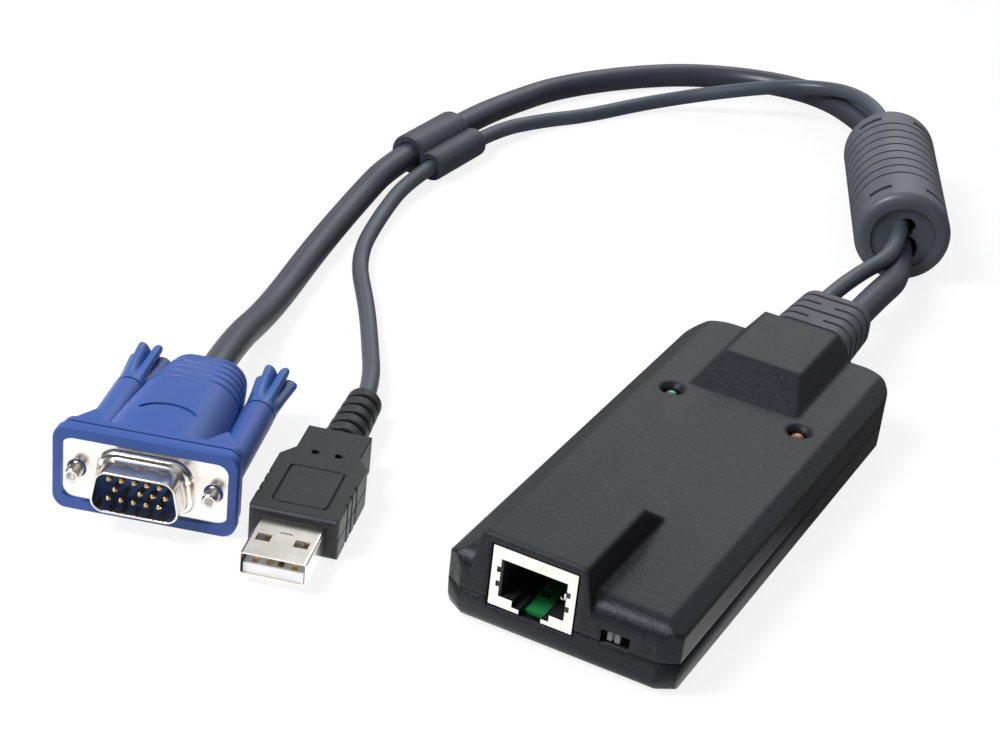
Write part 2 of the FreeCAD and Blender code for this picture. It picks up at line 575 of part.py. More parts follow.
def network_jack():
    """Metal shield, plastic insert and eight spring contacts of the network socket."""
    face = f"(-({FRONT}) - jack_recess)"
    middle = f"{BOARD_TOP} + jack_height / 2"
    shield = Maker("network_jack_shield")
    sketch = shield.sketch("XZ", face)
    centred_box(sketch, "jack_x", middle, "jack_width", "jack_height")
    shield.pad(sketch, "jack_depth", flip=True)
    sketch = shield.sketch("XZ", f"{face} - shield_sheet")
    box(sketch, f"{JACK_LEFT} + shield_sheet", f"{JACK_RIGHT} - shield_sheet", f"{BOARD_TOP} - 1",
        f"{BOARD_TOP} + jack_height - shield_sheet")
    shield.cut(sketch, "jack_depth - 2 * shield_sheet")
    shield.cut(jack_mouth(shield, "0"), "1 + jack_recess + shield_sheet + 0.1")
    sketch = shield.sketch("XZ", face)
    for side, level in (("-", "0.38"), ("-", "0.62"), ("+", "0.38"), ("+", "0.62")):
        centred_box(sketch, f"jack_x {side} (mouth_width / 2 + notch_deep / 2)",
                    f"{BOARD_TOP} + jack_height * {level}", "notch_deep", "notch_tall")
    shield.cut(sketch, "shield_sheet + 0.1")
    insert = Maker("network_jack_insert")
    sketch = insert.sketch("XZ", f"{face} - shield_sheet")
    box(sketch, f"{JACK_LEFT} + shield_sheet", f"{JACK_RIGHT} - shield_sheet", BOARD_TOP,
        f"{BOARD_TOP} + jack_height - shield_sheet")
    insert.pad(sketch, "jack_depth - 2 * shield_sheet", flip=True)
    insert.cut(jack_mouth(insert, "socket_step"), "1 + jack_recess + shield_sheet + socket_depth")
    contacts = Maker("network_jack_contacts")
    root = f"(-({FRONT}) - jack_recess - shield_sheet - socket_depth)"
    top = f"({BOARD_TOP} + jack_height - mouth_drop)"
    for i in range(8):
        sketch = contacts.sketch("YZ", f"jack_x + ({i} - 3.5) * contact_pitch")
        line = [(f"-{root}", f"{top} - contact_root"), (f"-{root} - contact_run", f"{top} - contact_tip"),
                (f"-{root} - contact_run", f"{top} - contact_tip - contact_wide"),
                (f"-{root}", f"{top} - contact_root - contact_wide")]
        outline(sketch, line[::-1])
        contacts.pad(sketch, "contact_wide", both=True)


def recovery_switch():
    """Slide switch: case on the board, gold leads and the slider."""
    face = f"({INNER_Y} - switch_back)"
    level = "(seam_height + window_height / 2)"
    case = Maker("recovery_switch_case")
    sketch = case.sketch("XY", BOARD_TOP)
    box(sketch, "window_x - switch_width / 2", "window_x + switch_width / 2", f"-{face}",
        f"-{face} + switch_deep")
    case.pad(sketch, "switch_high")
    sketch = case.sketch("XZ", face)
    box(sketch, "window_x + knob_home - knob_wide / 2 - knob_play",
        "window_x + knob_home + knob_wide / 2 + knob_travel + knob_play",
        f"{level} - stem_high / 2 - knob_play", f"{level} + stem_high / 2 + knob_play")
    case.cut(sketch, "stem_deep + knob_play")
    slider = Maker("recovery_switch_slider")
    for tall, low, high in (("stem_high", f"{face} - stem_deep", f"{face} + knob_play"),
                            ("knob_high", f"{face} + knob_play",
                             f"-({FRONT}) - knob_sunk")):
        sketch = slider.sketch("XZ", low)
        centred_box(sketch, "window_x + knob_home", level, "knob_wide", tall)
        slider.pad(sketch, f"{high} - ({low})")
    sketch = slider.sketch("XZ", f"-({FRONT}) - knob_sunk")
    centred_box(sketch, "window_x + knob_home", level, "knob_notch", "knob_high + 1")
    slider.cut(sketch, "knob_notch")
    leads = Maker("recovery_switch_leads")
    sketch = leads.sketch("XY", "board_bottom - lead_side")
    for x, y in lead_places()[:3]:
        centred_box(sketch, x, y, "lead_side", "lead_side")
    leads.pad(sketch, f"{BOARD_TOP} + lead_side * 2 - (board_bottom - lead_side)")
    sketch = leads.sketch("XY", f"{BOARD_TOP} + lead_side * 2")
    for i in (-1, 0, 1):
        box(sketch, f"window_x + {i} * lead_pitch - lead_side / 2",
            f"window_x + {i} * lead_pitch + lead_side / 2", f"-{face} + switch_deep",
            f"-{face} + switch_deep + lead_side * 1.5")
    leads.pad(sketch, "lead_side")


def lamps():
    """Two indicator lamps and their four leads."""
    for node, sign in (("link_lamp", "-"), ("power_lamp", "")):
        lamp = Maker(node, f"placement(vector({sign}lamp_x; lamp_y; lamp_top - lamp_body); "
                           "rotation(vector(0; 0; 1); 0))")
        sketch = lamp.sketch()
        circle(sketch, "0", "0", "lamp_dia * 1.2")
        lamp.pad(sketch, "lamp_body * 0.2")
        sketch = lamp.sketch()
        circle(sketch, "0", "0", "lamp_dia")
        lamp.pad(sketch, "lamp_body")
        top = value("lamp_body")
        lamp.soften("lamp_dia * 0.42", within(z=(top, top)))
    leads = Maker("lamp_leads")
    sketch = leads.sketch("XY", "board_bottom - lead_side")
    for x, y in lead_places()[3:]:
        centred_box(sketch, x, y, "lead_side", "lead_side")
    leads.pad(sketch, "lamp_top - lamp_body - (board_bottom - lead_side)")


def board_parts():
    """Chips, crystal, magnetics and the two cable headers on the board."""
    for node, x, y, wide, deep, high in CHIPS:
        chip = Maker(node)
        sketch = chip.sketch("XY", BOARD_TOP)
        centred_box(sketch, x, y, wide, deep)
        chip.pad(sketch, high)


CHIPS = [("video_capture_chip", "-4", "8", "chip_side", "chip_side", "chip_high"),
         ("controller_chip", "-4", "-12", "chip_side * 0.8", "chip_side * 0.8", "chip_high"),
         ("memory_chip", f"{INNER_X} - chip_from_side", "-12", "chip_side * 0.55", "chip_side * 0.9",
          "chip_high"),
         ("crystal_can", "9", "4", "crystal_long / 2.4", "crystal_long", "crystal_high"),
         ("network_transformer", "-4", "-27", "chip_side", "chip_side * 0.5", "magnet_high"),
         ("video_header", "boot_x + header_x", "header_y", "header_long", "header_deep",
          "header_high"),
         ("usb_header", "boot_x - header_x - 1", "header_y", "header_long * 0.6", "header_deep",
          "header_high")]


# ---------------------------------------------------------------------------- strain relief and wires
CABLE_HOLES = (("boot_x + video_exit_x", "boot_z + video_exit_z", "video_dia"),
               ("boot_x - usb_exit_x", "boot_z + usb_exit_z", "usb_dia"))


def strain_relief():
    """Grooved rubber boot with a neck in the rear wall and a flange behind it."""
    boot = Maker("strain_relief")
    sketches = []
    for lift, wide, tall, radius in (
            ("0", "boot_width", "boot_height", "boot_corner"),
            ("boot_length", "boot_end_width", "boot_end_height", "boot_corner * 0.9")):
        sketch = boot.sketch("XZ", f"-({REAR}) - {lift}")
        centred_box(sketch, "boot_x", "boot_z", wide, tall, radius)
        sketches.append(sketch)
    boot.loft(*sketches)
    for lift, inset, length in (("0", "neck_inset", "wall"), ("wall", "neck_play", "flange_thick")):
        sketch = boot.sketch("XZ", f"-({REAR}) + {lift}")
        centred_box(sketch, "boot_x", "boot_z", f"boot_width - 2 * {inset}",
                    f"boot_height - 2 * {inset}", f"boot_corner - {inset}")
        boot.pad(sketch, length)
    rear = value(f"{REAR} + boot_length")
    boot.soften("boot_edge", within(y=(rear, rear)))
    for i in range(5):
        boot_groove(boot, i, broken=i in (1, 3))
    for x, z, size in CABLE_HOLES:
        sketch = boot.sketch("XZ", f"-({REAR}) - boot_length")
        circle(sketch, x, z, size)
        boot.cut(sketch, "cable_seat", flip=True)
        sketch = boot.sketch("XZ", f"-({REAR}) - boot_length")
        circle(sketch, x, z, f"{size} - wire_step")
        boot.cut(sketch, flip=True)


def boot_groove(boot, i, broken):
    """Cut one groove round the boot; a broken one leaves a bridge above and below."""
    sketch = boot.sketch("XZ", f"-({REAR}) - boot_first - {i} * boot_pitch")
    x, z = "boot_width / 2 - boot_side_deep", "boot_height / 2 - boot_top_deep"
    if not broken:
        centred_box(sketch, "boot_x", "boot_z", "boot_width + 4", "boot_height + 4")
        centred_box(sketch, "boot_x", "boot_z", f"2 * ({x})", f"2 * ({z})", "boot_corner * 0.6")
        boot.cut(sketch, "boot_groove")
        return
    half = [("boot_bridge / 2", "-", "(boot_height / 2 + 2)"),
            ("boot_width / 2 + 2", "-", "(boot_height / 2 + 2)"),
            ("boot_width / 2 + 2", "+", "(boot_height / 2 + 2)"),
            ("boot_bridge / 2", "+", "(boot_height / 2 + 2)"), ("boot_bridge / 2", "+", f"({z})"),
            (x, "+", f"({z})", "boot_corner * 0.6"), (x, "-", f"({z})", "boot_corner * 0.6"),
            ("boot_bridge / 2", "-", f"({z})")]
    outline(sketch, [(f"boot_x + {c[0]}", f"boot_z {c[1]} {c[2]}") + c[3:] for c in half])
    outline(sketch, [(f"boot_x - ({c[0]})", f"boot_z {c[1]} {c[2]}") + c[3:] for c in half[::-1]])
    boot.cut(sketch, "boot_groove")


# ----------------------------------------------------------------------------------------- ferrite
FERRITE_PLACE = ("placement(vector(ferrite_x; ferrite_y; ferrite_dia / 2); "
                 "rotation(vector(0; 0; 1); ferrite_turn))")
BORES = (("-ferrite_video_drop", "video_dia"), ("ferrite_usb_rise", "usb_dia"))


def ferrite():
    """Moulded cylinder with end dishes, ring grooves and slots, and the core tube inside it."""
    mould = Maker("ferrite_overmould", FERRITE_PLACE)
    sketch = mould.sketch("XZ")
    circle(sketch, "0", "0", "ferrite_dia")
    mould.pad(sketch, "ferrite_length", flip=True)
    end = value("ferrite_length")
    mould.soften("ferrite_edge", within(y=(0, 0)), within(y=(end, end)))
    for low in ("0", "ferrite_length - ferrite_dish_deep"):
        sketch = mould.sketch("XZ", f"-({low})")
        circle(sketch, "0", "0", "ferrite_dish_dia")
        mould.cut(sketch, "ferrite_dish_deep")
    for i in range(int(value("ring_count"))):
        middle = f"ferrite_length / 2 + ({i} - (ring_count - 1) / 2) * ring_pitch + ring_shift"
        sketch = mould.sketch()
        box(sketch, "ferrite_dia / 2 - ring_deep", "ferrite_dia / 2 + 1", f"{middle} - ring_wide / 2",
            f"{middle} + ring_wide / 2")
        mould.spin(sketch, hollow=True)
    for tilt, span in (("-90 - slot_tilt", "slot_span"), ("-90 + slot_tilt", "slot_span")):
        for middle in ("slot_from_end", "ferrite_length - slot_from_end"):
            sketch = mould.sketch(tilt=tilt)
            box(sketch, "ferrite_dia / 2 - slot_deep", "ferrite_dia / 2 + 1",
                f"{middle} - slot_wide / 2", f"{middle} + slot_wide / 2")
            mould.spin(sketch, hollow=True, angle=span)
    for middle in ("slit_from_end", "ferrite_length - slit_from_end"):
        sketch = mould.sketch(tilt="-90 + slot_tilt")
        box(sketch, "ferrite_dia / 2 - slot_deep / 2", "ferrite_dia / 2 + 1",
            f"{middle} - slit_wide / 2", f"{middle} + slit_wide / 2")
        mould.spin(sketch, hollow=True, angle="slit_span")
    for sign in ("-", ""):
        sketch = mould.sketch("XY", "-parting_wide / 2")
        box(sketch, *sorted((f"{sign}(ferrite_dia / 2 + 1)", f"{sign}(ferrite_dia / 2 - parting_deep)"),
                            key=value), "-1", "ferrite_length + 1")
        mould.cut(sketch, "parting_wide", flip=True)
    sketch = mould.sketch()
    box(sketch, "0", "core_dia / 2 + core_play",
        "(ferrite_length - core_length) / 2 - core_play",
        "(ferrite_length + core_length) / 2 + core_play")
    mould.spin(sketch, hollow=True)
    for rise, size in BORES:
        sketch = mould.sketch("XZ")
        circle(sketch, "ferrite_side", rise, f"{size} + 2 * bore_play")
        mould.cut(sketch)
    core = Maker("ferrite_core", FERRITE_PLACE)
    sketch = core.sketch("XZ", "-(ferrite_length - core_length) / 2")
    circle(sketch, "0", "0", "core_dia")
    circle(sketch, "0", "0", "core_bore")
    core.pad(sketch, "core_length", flip=True)


# -------------------------------------------------------------------------------------------- clip
def cable_clip():
    """Twin sleeve that holds the two cables side by side."""
    clip = Maker("cable_clip", "placement(vector(clip_x; clip_y; 0); rotation(vector(0; 0; 1); "
                               "clip_turn))")
    barrels = (("-clip_pitch / 2", "video_dia"), ("clip_pitch / 2", "usb_dia"))
    for x, size in barrels:
        outer = f"({size} / 2 + clip_play + clip_wall)"
        sketch = clip.sketch("XZ")
        circle(sketch, x, outer, f"2 * {outer}")
        clip.pad(sketch, "clip_length", both=True)
    half = value("clip_length") / 2
    clip.soften("clip_edge", within(y=(half, half)), within(y=(-half, -half)))
    for x, size in barrels:
        sketch = clip.sketch("XZ")
        circle(sketch, x, f"{size} / 2 + clip_play + clip_wall", f"{size} + 2 * clip_play")
        clip.cut(sketch, both=True)


# -------------------------------------------------------------------------------------- video plug
VIDEO_PLACE = ("placement(vector(video_x; video_y; video_z); rotation(vector(0; 0; 1); "
               "video_turn))")


def screw_place(sign):
    """Placement of a jackscrew: on the plug, to one side of its middle."""
    return (f"placement(vector(video_x {sign} cos(video_turn * 1deg) * screw_spread / 2; "
            f"video_y {sign} sin(video_turn * 1deg) * screw_spread / 2; video_z); "
            "rotation(vector(0; 0; 1); video_turn))")


def trapezium(sketch, inset="0"):
    """Outline of the connector's shell, wide side down, drawn in by an inset."""
    lean = "tan(shell_slant * 1deg)"
    foot = f"(shell_wide / 2 - ({inset}) * ({lean} + 1 / cos(shell_slant * 1deg)))"
    top = (f"(shell_wide / 2 - (shell_tall - ({inset})) * {lean} - ({inset}) / "
           "cos(shell_slant * 1deg))")
    z, radius = f"(shell_tall / 2 - ({inset}))", f"shell_corner - ({inset})"
    outline(sketch, [(f"-{foot}", f"-{z}", radius), (foot, f"-{z}", radius), (top, z, radius),
                     (f"-{top}", z, radius)])


def video_plug_hood():
    """Moulded hood: rim, stepped plate, tapering ringed body and two screw barrels."""
    hood = Maker("video_plug_hood", VIDEO_PLACE)
    sketch = hood.sketch("XZ", "rim_proud")
    centred_box(sketch, "0", "0", "rim_width", "rim_height", "rim_corner")
    hood.pad(sketch, "rim_proud + rim_deep", flip=True)
    sketch = hood.sketch("XZ", "-rim_deep")
    centred_box(sketch, "0", "0", "rim_width - 2 * plate_inset", "rim_height - 2 * plate_inset",
                "rim_corner")
    hood.pad(sketch, "plate_deep - rim_deep", flip=True)
    stations = (("rim_deep", "hood_front_wide", "hood_front_tall"),
                ("hood_mid", "hood_mid_wide", "hood_mid_tall"),
                ("hood_length", "hood_end_wide", "hood_end_tall"))
    for near, far in zip(stations, stations[1:]):
        sketches = []
        for at, wide, tall in (near, far):
            sketch = hood.sketch("XZ", f"-{at}")
            centred_box(sketch, "0", "0", wide, tall, f"{tall} * hood_corner")
            sketches.append(sketch)
        hood.loft(*sketches)
    end = value("hood_length")
    hood.soften("hood_edge", within(y=(end, end)))
    for sign in ("-", ""):
        sketch = hood.sketch("XZ", "-rim_deep")
        circle(sketch, f"{sign}screw_spread / 2", "0", "barrel_dia")
        hood.pad(sketch, "barrel_length - rim_deep", flip=True)
        sketch = hood.sketch()
        points = [(f"{sign}(screw_spread / 2 - 5)", "plate_deep - 0.5"),
                  (f"{sign}(rim_width / 2 - 1)", "plate_deep - 0.5"),
                  (f"{sign}(screw_spread / 2)", "plate_deep + gusset_reach"),
                  (f"{sign}(screw_spread / 2 - 5)", "plate_deep + gusset_reach")]
        outline(sketch, points if sign == "" else points[::-1])
        hood.pad(sketch, "gusset_tall", both=True)
    hood_rings(hood)
    hood_openings(hood)


def hood_rings(hood):
    """Cut the crescent and the five ring grooves of the hood."""
    sketch = hood.sketch("XY", "hood_front_tall / 2")
    line = [("-crescent_wide / 2", "crescent_at + crescent_line"),
            ("-crescent_wide / 2 + 0.6", "crescent_at"),
            ("0", "crescent_at + crescent_bow", "crescent_wide * 0.8"),
            ("crescent_wide / 2 - 0.6", "crescent_at"),
            ("crescent_wide / 2", "crescent_at + crescent_line"),
            ("0", "crescent_at + crescent_bow + crescent_line * 1.2", "crescent_wide * 0.85")]
    outline(sketch, line)
    hood.cut(sketch, "crescent_deep")
    run = "(hood_length - hood_mid)"
    for i in range(5):
        at = f"(hood_mid + hood_ring_first + {i} * hood_ring_pitch)"
        share = f"(({at} - hood_mid) / {run})"
        wide = f"(hood_mid_wide + (hood_end_wide - hood_mid_wide) * {share} - 2 * hood_ring_deep)"
        tall = f"(hood_mid_tall + (hood_end_tall - hood_mid_tall) * {share} - 2 * hood_ring_deep)"
        sketch = hood.sketch("XZ", f"-{at}")
        centred_box(sketch, "0", "0", f"{wide} + 3.2", f"{tall} + 6")
        centred_box(sketch, "0", "0", wide, tall, f"{tall} * hood_corner")
        hood.cut(sketch, "hood_ring")


def hood_openings(hood):
    """Cut the flange seat, the insulator seat, the screw bores and the cable seat."""
    sketch = hood.sketch("XZ", "rim_proud")
    centred_box(sketch, "0", "0", "flange_width", "flange_height", "flange_corner")
    hood.cut(sketch, "rim_proud + flange_thick_v")
    sketch = hood.sketch("XZ", "-flange_thick_v")
    trapezium(sketch)
    hood.cut(sketch, "insulator_back - flange_thick_v")
    for sign in ("-", ""):
        sketch = hood.sketch("XZ", "rim_proud")
        circle(sketch, f"{sign}screw_spread / 2", "0", "shaft_dia + 2 * shaft_play")
        hood.cut(sketch)
    sketch = hood.sketch("XZ", "-hood_length")
    circle(sketch, "0", "0", "video_dia")
    hood.cut(sketch, "video_seat", flip=True)


def video_plug_shell():
    """Metal flange with the D-shaped shell, the insulator and the fourteen pins."""
    shell = Maker("video_plug_shell", VIDEO_PLACE)
    sketch = shell.sketch("XZ", "0")
    centred_box(sketch, "0", "0", "flange_width", "flange_height", "flange_corner")
    for sign in ("-", ""):
        circle(sketch, f"{sign}screw_spread / 2", "0", "flange_hole")
    shell.pad(sketch, "flange_thick_v", flip=True)
    sketch = shell.sketch("XZ", "0")
    trapezium(sketch)
    shell.pad(sketch, "shell_proud")
    sketch = shell.sketch("XZ", "shell_proud")
    trapezium(sketch, "shell_sheet")
    shell.cut(sketch)
    mouth = value("shell_proud")
    inner = value("shell_wide / 2")
    shell.soften("shell_sheet * 0.4", within(y=(-mouth, -mouth), x=(-inner, inner)))
    for lift, flip in (("shell_tall / 2", False), ("-shell_tall / 2", True)):
        sketch = shell.sketch("XY", lift)
        for place in (-1, 0, 1):
            centred_box(sketch, f"{place} * press_step", "-shell_proud / 2", "press_wide", "press_long")
        shell.cut(sketch, "press_deep", flip=flip)
    block = Maker("video_plug_insulator", VIDEO_PLACE)
    sketch = block.sketch("XZ", "shell_proud - insert_sunk")
    trapezium(sketch, "shell_sheet")
    block.pad(sketch, "shell_proud - insert_sunk + insulator_back", flip=True)
    sketch = block.sketch("XZ", "shell_proud - insert_sunk")
    pin_circles(sketch)
    block.cut(sketch)
    pins = Maker("video_plug_pins", VIDEO_PLACE)
    sketch = pins.sketch("XZ", "shell_proud - pin_short")
    pin_circles(sketch)
    pins.pad(sketch, "shell_proud - pin_short + insulator_back", flip=True)
    tip = value("shell_proud - pin_short")
    pins.bevel("pin_dia * 0.25", within(y=(-tip, -tip)))


def pin_circles(sketch):
    """Draw the fourteen pins: three rows of five, one place empty in the middle row."""
    for row, shift in ((1, -0.25), (0, 0.25), (-1, -0.25)):
        for column in range(-2, 3):
            if (row, column) != (0, -1):
                circle(sketch, f"({column} + {shift}) * pin_pitch", f"{row} * pin_row", "pin_dia")


def thumbscrews():
    """Two captive jackscrews and their fluted knobs."""
    for node, sign in (("left", "-"), ("right", "+")):
        screw = Maker(f"jackscrew_{node}", screw_place(sign))
        sketch = screw.sketch()
        neck = "tip_dia / 2 - tip_relief"
        outline(sketch, [("0", "-tip_proud"), ("tip_dia / 2 - 0.3", "-tip_proud"),
                         ("tip_dia / 2", "-tip_proud + 0.3"), ("tip_dia / 2", "-tip_proud + tip_long"),
                         (neck, "-tip_proud + tip_long + tip_relief"), (neck, "flange_thick_v + 0.2"),
                         ("shaft_dia / 2", "flange_thick_v + 0.5"),
                         ("shaft_dia / 2", "barrel_length + grip_gap + shaft_in_knob"),
                         ("0", "barrel_length + grip_gap + shaft_in_knob")])
        screw.spin(sketch)
        knob = Maker(f"thumbscrew_knob_{node}", screw_place(sign))
        start, length = "(barrel_length + grip_gap)", "grip_length"
        sketch = knob.sketch()
        outline(sketch, [("0", start), ("grip_start", start), ("grip_end", f"{start} + {length}", "1.2"),
                         ("0", f"{start} + {length}")])
        knob.spin(sketch)
        for i in range(6):
            sketch = knob.sketch("XZ", f"-{start} + 1")
            circle(sketch, f"cos({i} * 60deg) * flute_reach", f"sin({i} * 60deg) * flute_reach", "flute_dia")
            knob.cut(sketch)
        sketch = knob.sketch("XZ", f"-{start}")
        circle(sketch, "0", "0", "shaft_dia")
        knob.cut(sketch, "shaft_in_knob")


# ---------------------------------------------------------------------------------------- usb plug
USB_PLACE = "placement(vector(usb_x; usb_y; usb_z); rotation(vector(0; 0; 1); usb_turn))"


def usb_plug():
    """Moulded grip with its ringed boot, the metal shell, the insulator and four contacts."""
    grip = Maker("usb_plug_grip", USB_PLACE)
    sketch = grip.sketch()
    ends = ["usb_shell_proud", "usb_shell_proud + grip_long",
            "usb_shell_proud + grip_long + shoulder_long",
            "usb_shell_proud + grip_long + shoulder_long + rear_long"]
    half = [("grip_wide / 2", ends[0]), ("grip_wide / 2", ends[1]), ("rear_wide / 2", ends[2]),
            ("rear_wide / 2", ends[3])]
    outline(sketch, half + [(f"-{x}", y) for x, y in half[::-1]])
    grip.pad(sketch, "grip_tall", both=True)
    near, high = value(ends[0]), value("grip_tall / 2")
    grip.soften("usb_edge", within(y=(near, near)))
    grip.soften("usb_edge * 0.45", within(y=(near + 1.1, FAR), z=(high, high)),
                within(y=(near + 1.1, FAR), z=(-high, -high)))
    usb_boot(grip, ends[3])
    low = "usb_shell_proud + panel_from"
    sketch = grip.sketch("XY", "grip_tall / 2")
    box(sketch, "-panel_wide / 2", "panel_wide / 2", low, f"{low} + panel_long", "1")
    box(sketch, "-panel_wide / 2 + panel_deep", "panel_wide / 2 - panel_deep",
        f"{low} + panel_deep", f"{low} + panel_long - panel_deep", "1 - panel_deep")
    grip.cut(sketch, "panel_deep")
    sketch = grip.sketch("XY", "grip_tall / 2")
    for sign in ("-", ""):
        circle(sketch, f"{sign}dimple_pitch / 2", f"{ends[2]} - 1", "dimple_dia")
    grip.cut(sketch, "1.2")
    for sign in ("-", ""):
        sketch = grip.sketch()
        box(sketch, *sorted((f"{sign}(grip_wide / 2 + 1)", f"{sign}(grip_wide / 2 - seam_deep)"), key=value),
            f"{ends[0]} - 1", ends[1])
        grip.cut(sketch, "seam_wide", both=True)
        for i in range(3):
            sketch = grip.sketch()
            box(sketch, *sorted((f"{sign}(grip_wide / 2 + 1)", f"{sign}(grip_wide / 2 - rib_deep)"),
                                key=value),
                f"{low} + rib_first + {i} * rib_pitch", f"{low} + rib_first + {i} * rib_pitch + rib_wide")
            grip.cut(sketch, both=True)
    sketch = grip.sketch("XZ", f"-{ends[0]}")
    centred_box(sketch, "0", "0", "usb_shell_wide", "usb_shell_tall", "usb_shell_corner")
    grip.cut(sketch, "usb_tail")
    sketch = grip.sketch("XZ", f"-({ends[3]} + usb_boot_long)")
    circle(sketch, "0", "0", "usb_dia")
    grip.cut(sketch, "usb_seat", flip=True)
    usb_metal()


def usb_boot(grip, start):
    """Revolve the ringed boot behind the grip."""
    pitch = "(usb_boot_long / usb_boot_rings)"
    sketch = grip.sketch()
    points = [("0", f"{start} - 1")]
    count = int(value("usb_boot_rings"))
    for i in range(count):
        outer = f"(usb_boot_dia + (usb_boot_end - usb_boot_dia) * {i} / (usb_boot_rings - 1)) / 2"
        first = f"{start} + {i} * {pitch}"
        core = f"{outer} - usb_boot_deep"
        points += [(core, f"{first} - 1" if i == 0 else first), (core, f"{first} + usb_boot_ring"),
                   (outer, f"{first} + usb_boot_ring", "0.3"), (outer, f"{first} + {pitch}", "0.3")]
    points.append(("0", f"{start} + usb_boot_long"))
    outline(sketch, points)
    grip.spin(sketch)


def usb_metal():
    """Shell, insulator and contacts of the usb plug."""
    shell = Maker("usb_plug_shell", USB_PLACE)
    sketch = shell.sketch("XZ")
    centred_box(sketch, "0", "0", "usb_shell_wide", "usb_shell_tall", "usb_shell_corner")
    inner = ("usb_shell_wide - 2 * usb_shell_sheet", "usb_shell_tall - 2 * usb_shell_sheet",
             "usb_shell_corner - usb_shell_sheet")
    centred_box(sketch, "0", "0", *inner)
    shell.pad(sketch, "usb_shell_proud + usb_tail", flip=True)
    sketch = shell.sketch("XY")
    for sign in ("-", ""):
        centred_box(sketch, f"{sign}latch_x", "latch_y", "latch_wide", "latch_long")
    shell.cut(sketch, both=True)
    for lift, flip in (("usb_shell_tall / 2", False), ("-usb_shell_tall / 2", True)):
        sketch = shell.sketch("XY", lift)
        centred_box(sketch, "0", "latch_y + latch_long * 0.9", "press_long * 1.6", "press_long * 0.8",
                    "press_long * 0.3")
        shell.cut(sketch, "usb_shell_sheet / 2", flip=flip)
    block = Maker("usb_plug_insulator", USB_PLACE)
    sketch = block.sketch("XZ", "-tongue_sunk")
    low = "-usb_shell_tall / 2 + usb_shell_sheet"
    box(sketch, "-usb_shell_wide / 2 + usb_shell_sheet + 0.3",
        "usb_shell_wide / 2 - usb_shell_sheet - 0.3", low, f"{low} + usb_tongue_thick")
    block.pad(sketch, "tongue_long", flip=True)
    sketch = block.sketch("XZ", "-tongue_sunk - tongue_long")
    centred_box(sketch, "0", "0", *inner)
    block.pad(sketch, "usb_shell_proud + usb_tail - tongue_sunk - tongue_long", flip=True)
    contacts = Maker("usb_plug_contacts", USB_PLACE)
    sketch = contacts.sketch("XY", f"{low} + usb_tongue_thick")
    for x in ("-contact_out", "-contact_in", "contact_in", "contact_out"):
        box(sketch, f"{x} - usb_contact / 2", f"{x} + usb_contact / 2", "tongue_sunk + 0.6",
            "tongue_sunk + tongue_long")
    contacts.pad(sketch, "usb_contact * 0.2")


# ------------------------------------------------------------------------------------------ cables
def cord_wire(corners):
    """Join straight runs with tangent arcs; return the wire and the arc radii."""
    runs = [(b - a).Length for a, b in zip(corners, corners[1:])]
    pieces, radii, start = [], [], corners[0]
    for i in range(1, len(corners) - 1):
        back = (corners[i - 1] - corners[i]).normalize()
        ahead = (corners[i + 1] - corners[i]).normalize()
        reach = 0.45 * min(runs[i - 1], runs[i])
        half = back.getAngle(ahead) / 2
        radius = reach * math.tan(half)
        arrive, leave = corners[i] + back * reach, corners[i] + ahead * reach
        bisector = (back + ahead).normalize()
        middle = corners[i] + bisector * (reach / math.cos(half) - radius)
        pieces += [Part.LineSegment(start, arrive).toShape(), Part.Arc(arrive, middle, leave).toShape()]
        radii.append(radius)
        start = leave
    pieces.append(Part.LineSegment(start, corners[-1]).toShape())
    return Part.Wire(pieces), radii


def cord(node, corners, diameter):
    """Plain round cord through the corner points."""
    corners = [V(*point) for point in corners]
    wire, radii = cord_wire(corners)
    first = (corners[1] - corners[0]).normalize()
    ring = Part.Wire(Part.Circle(corners[0], first, diameter / 2).toShape())
    tube = wire.makePipeShell([ring], True, False)
    feature = doc.addObject("Part::Feature", node)
    feature.Label = node
    feature.Shape = tube
    feature.Placement = FreeCAD.Placement(V(0, 0, 0), FreeCAD.Rotation())
    PARTS.append(feature)
    print(f"{node}: length {wire.Length:.1f}, volume ratio "
          f"{tube.Volume / (wire.Length * math.pi * diameter ** 2 / 4):.4f}, radii "
          + " ".join(f"{r:.1f}" for r in radii))


def turned(x, y, turn, side, back):
    """Point on a turned piece: side along its X and back along its Y."""
    angle = math.radians(turn)
    return (x + side * math.cos(angle) - back * math.sin(angle),
            y + side * math.sin(angle) + back * math.cos(angle))


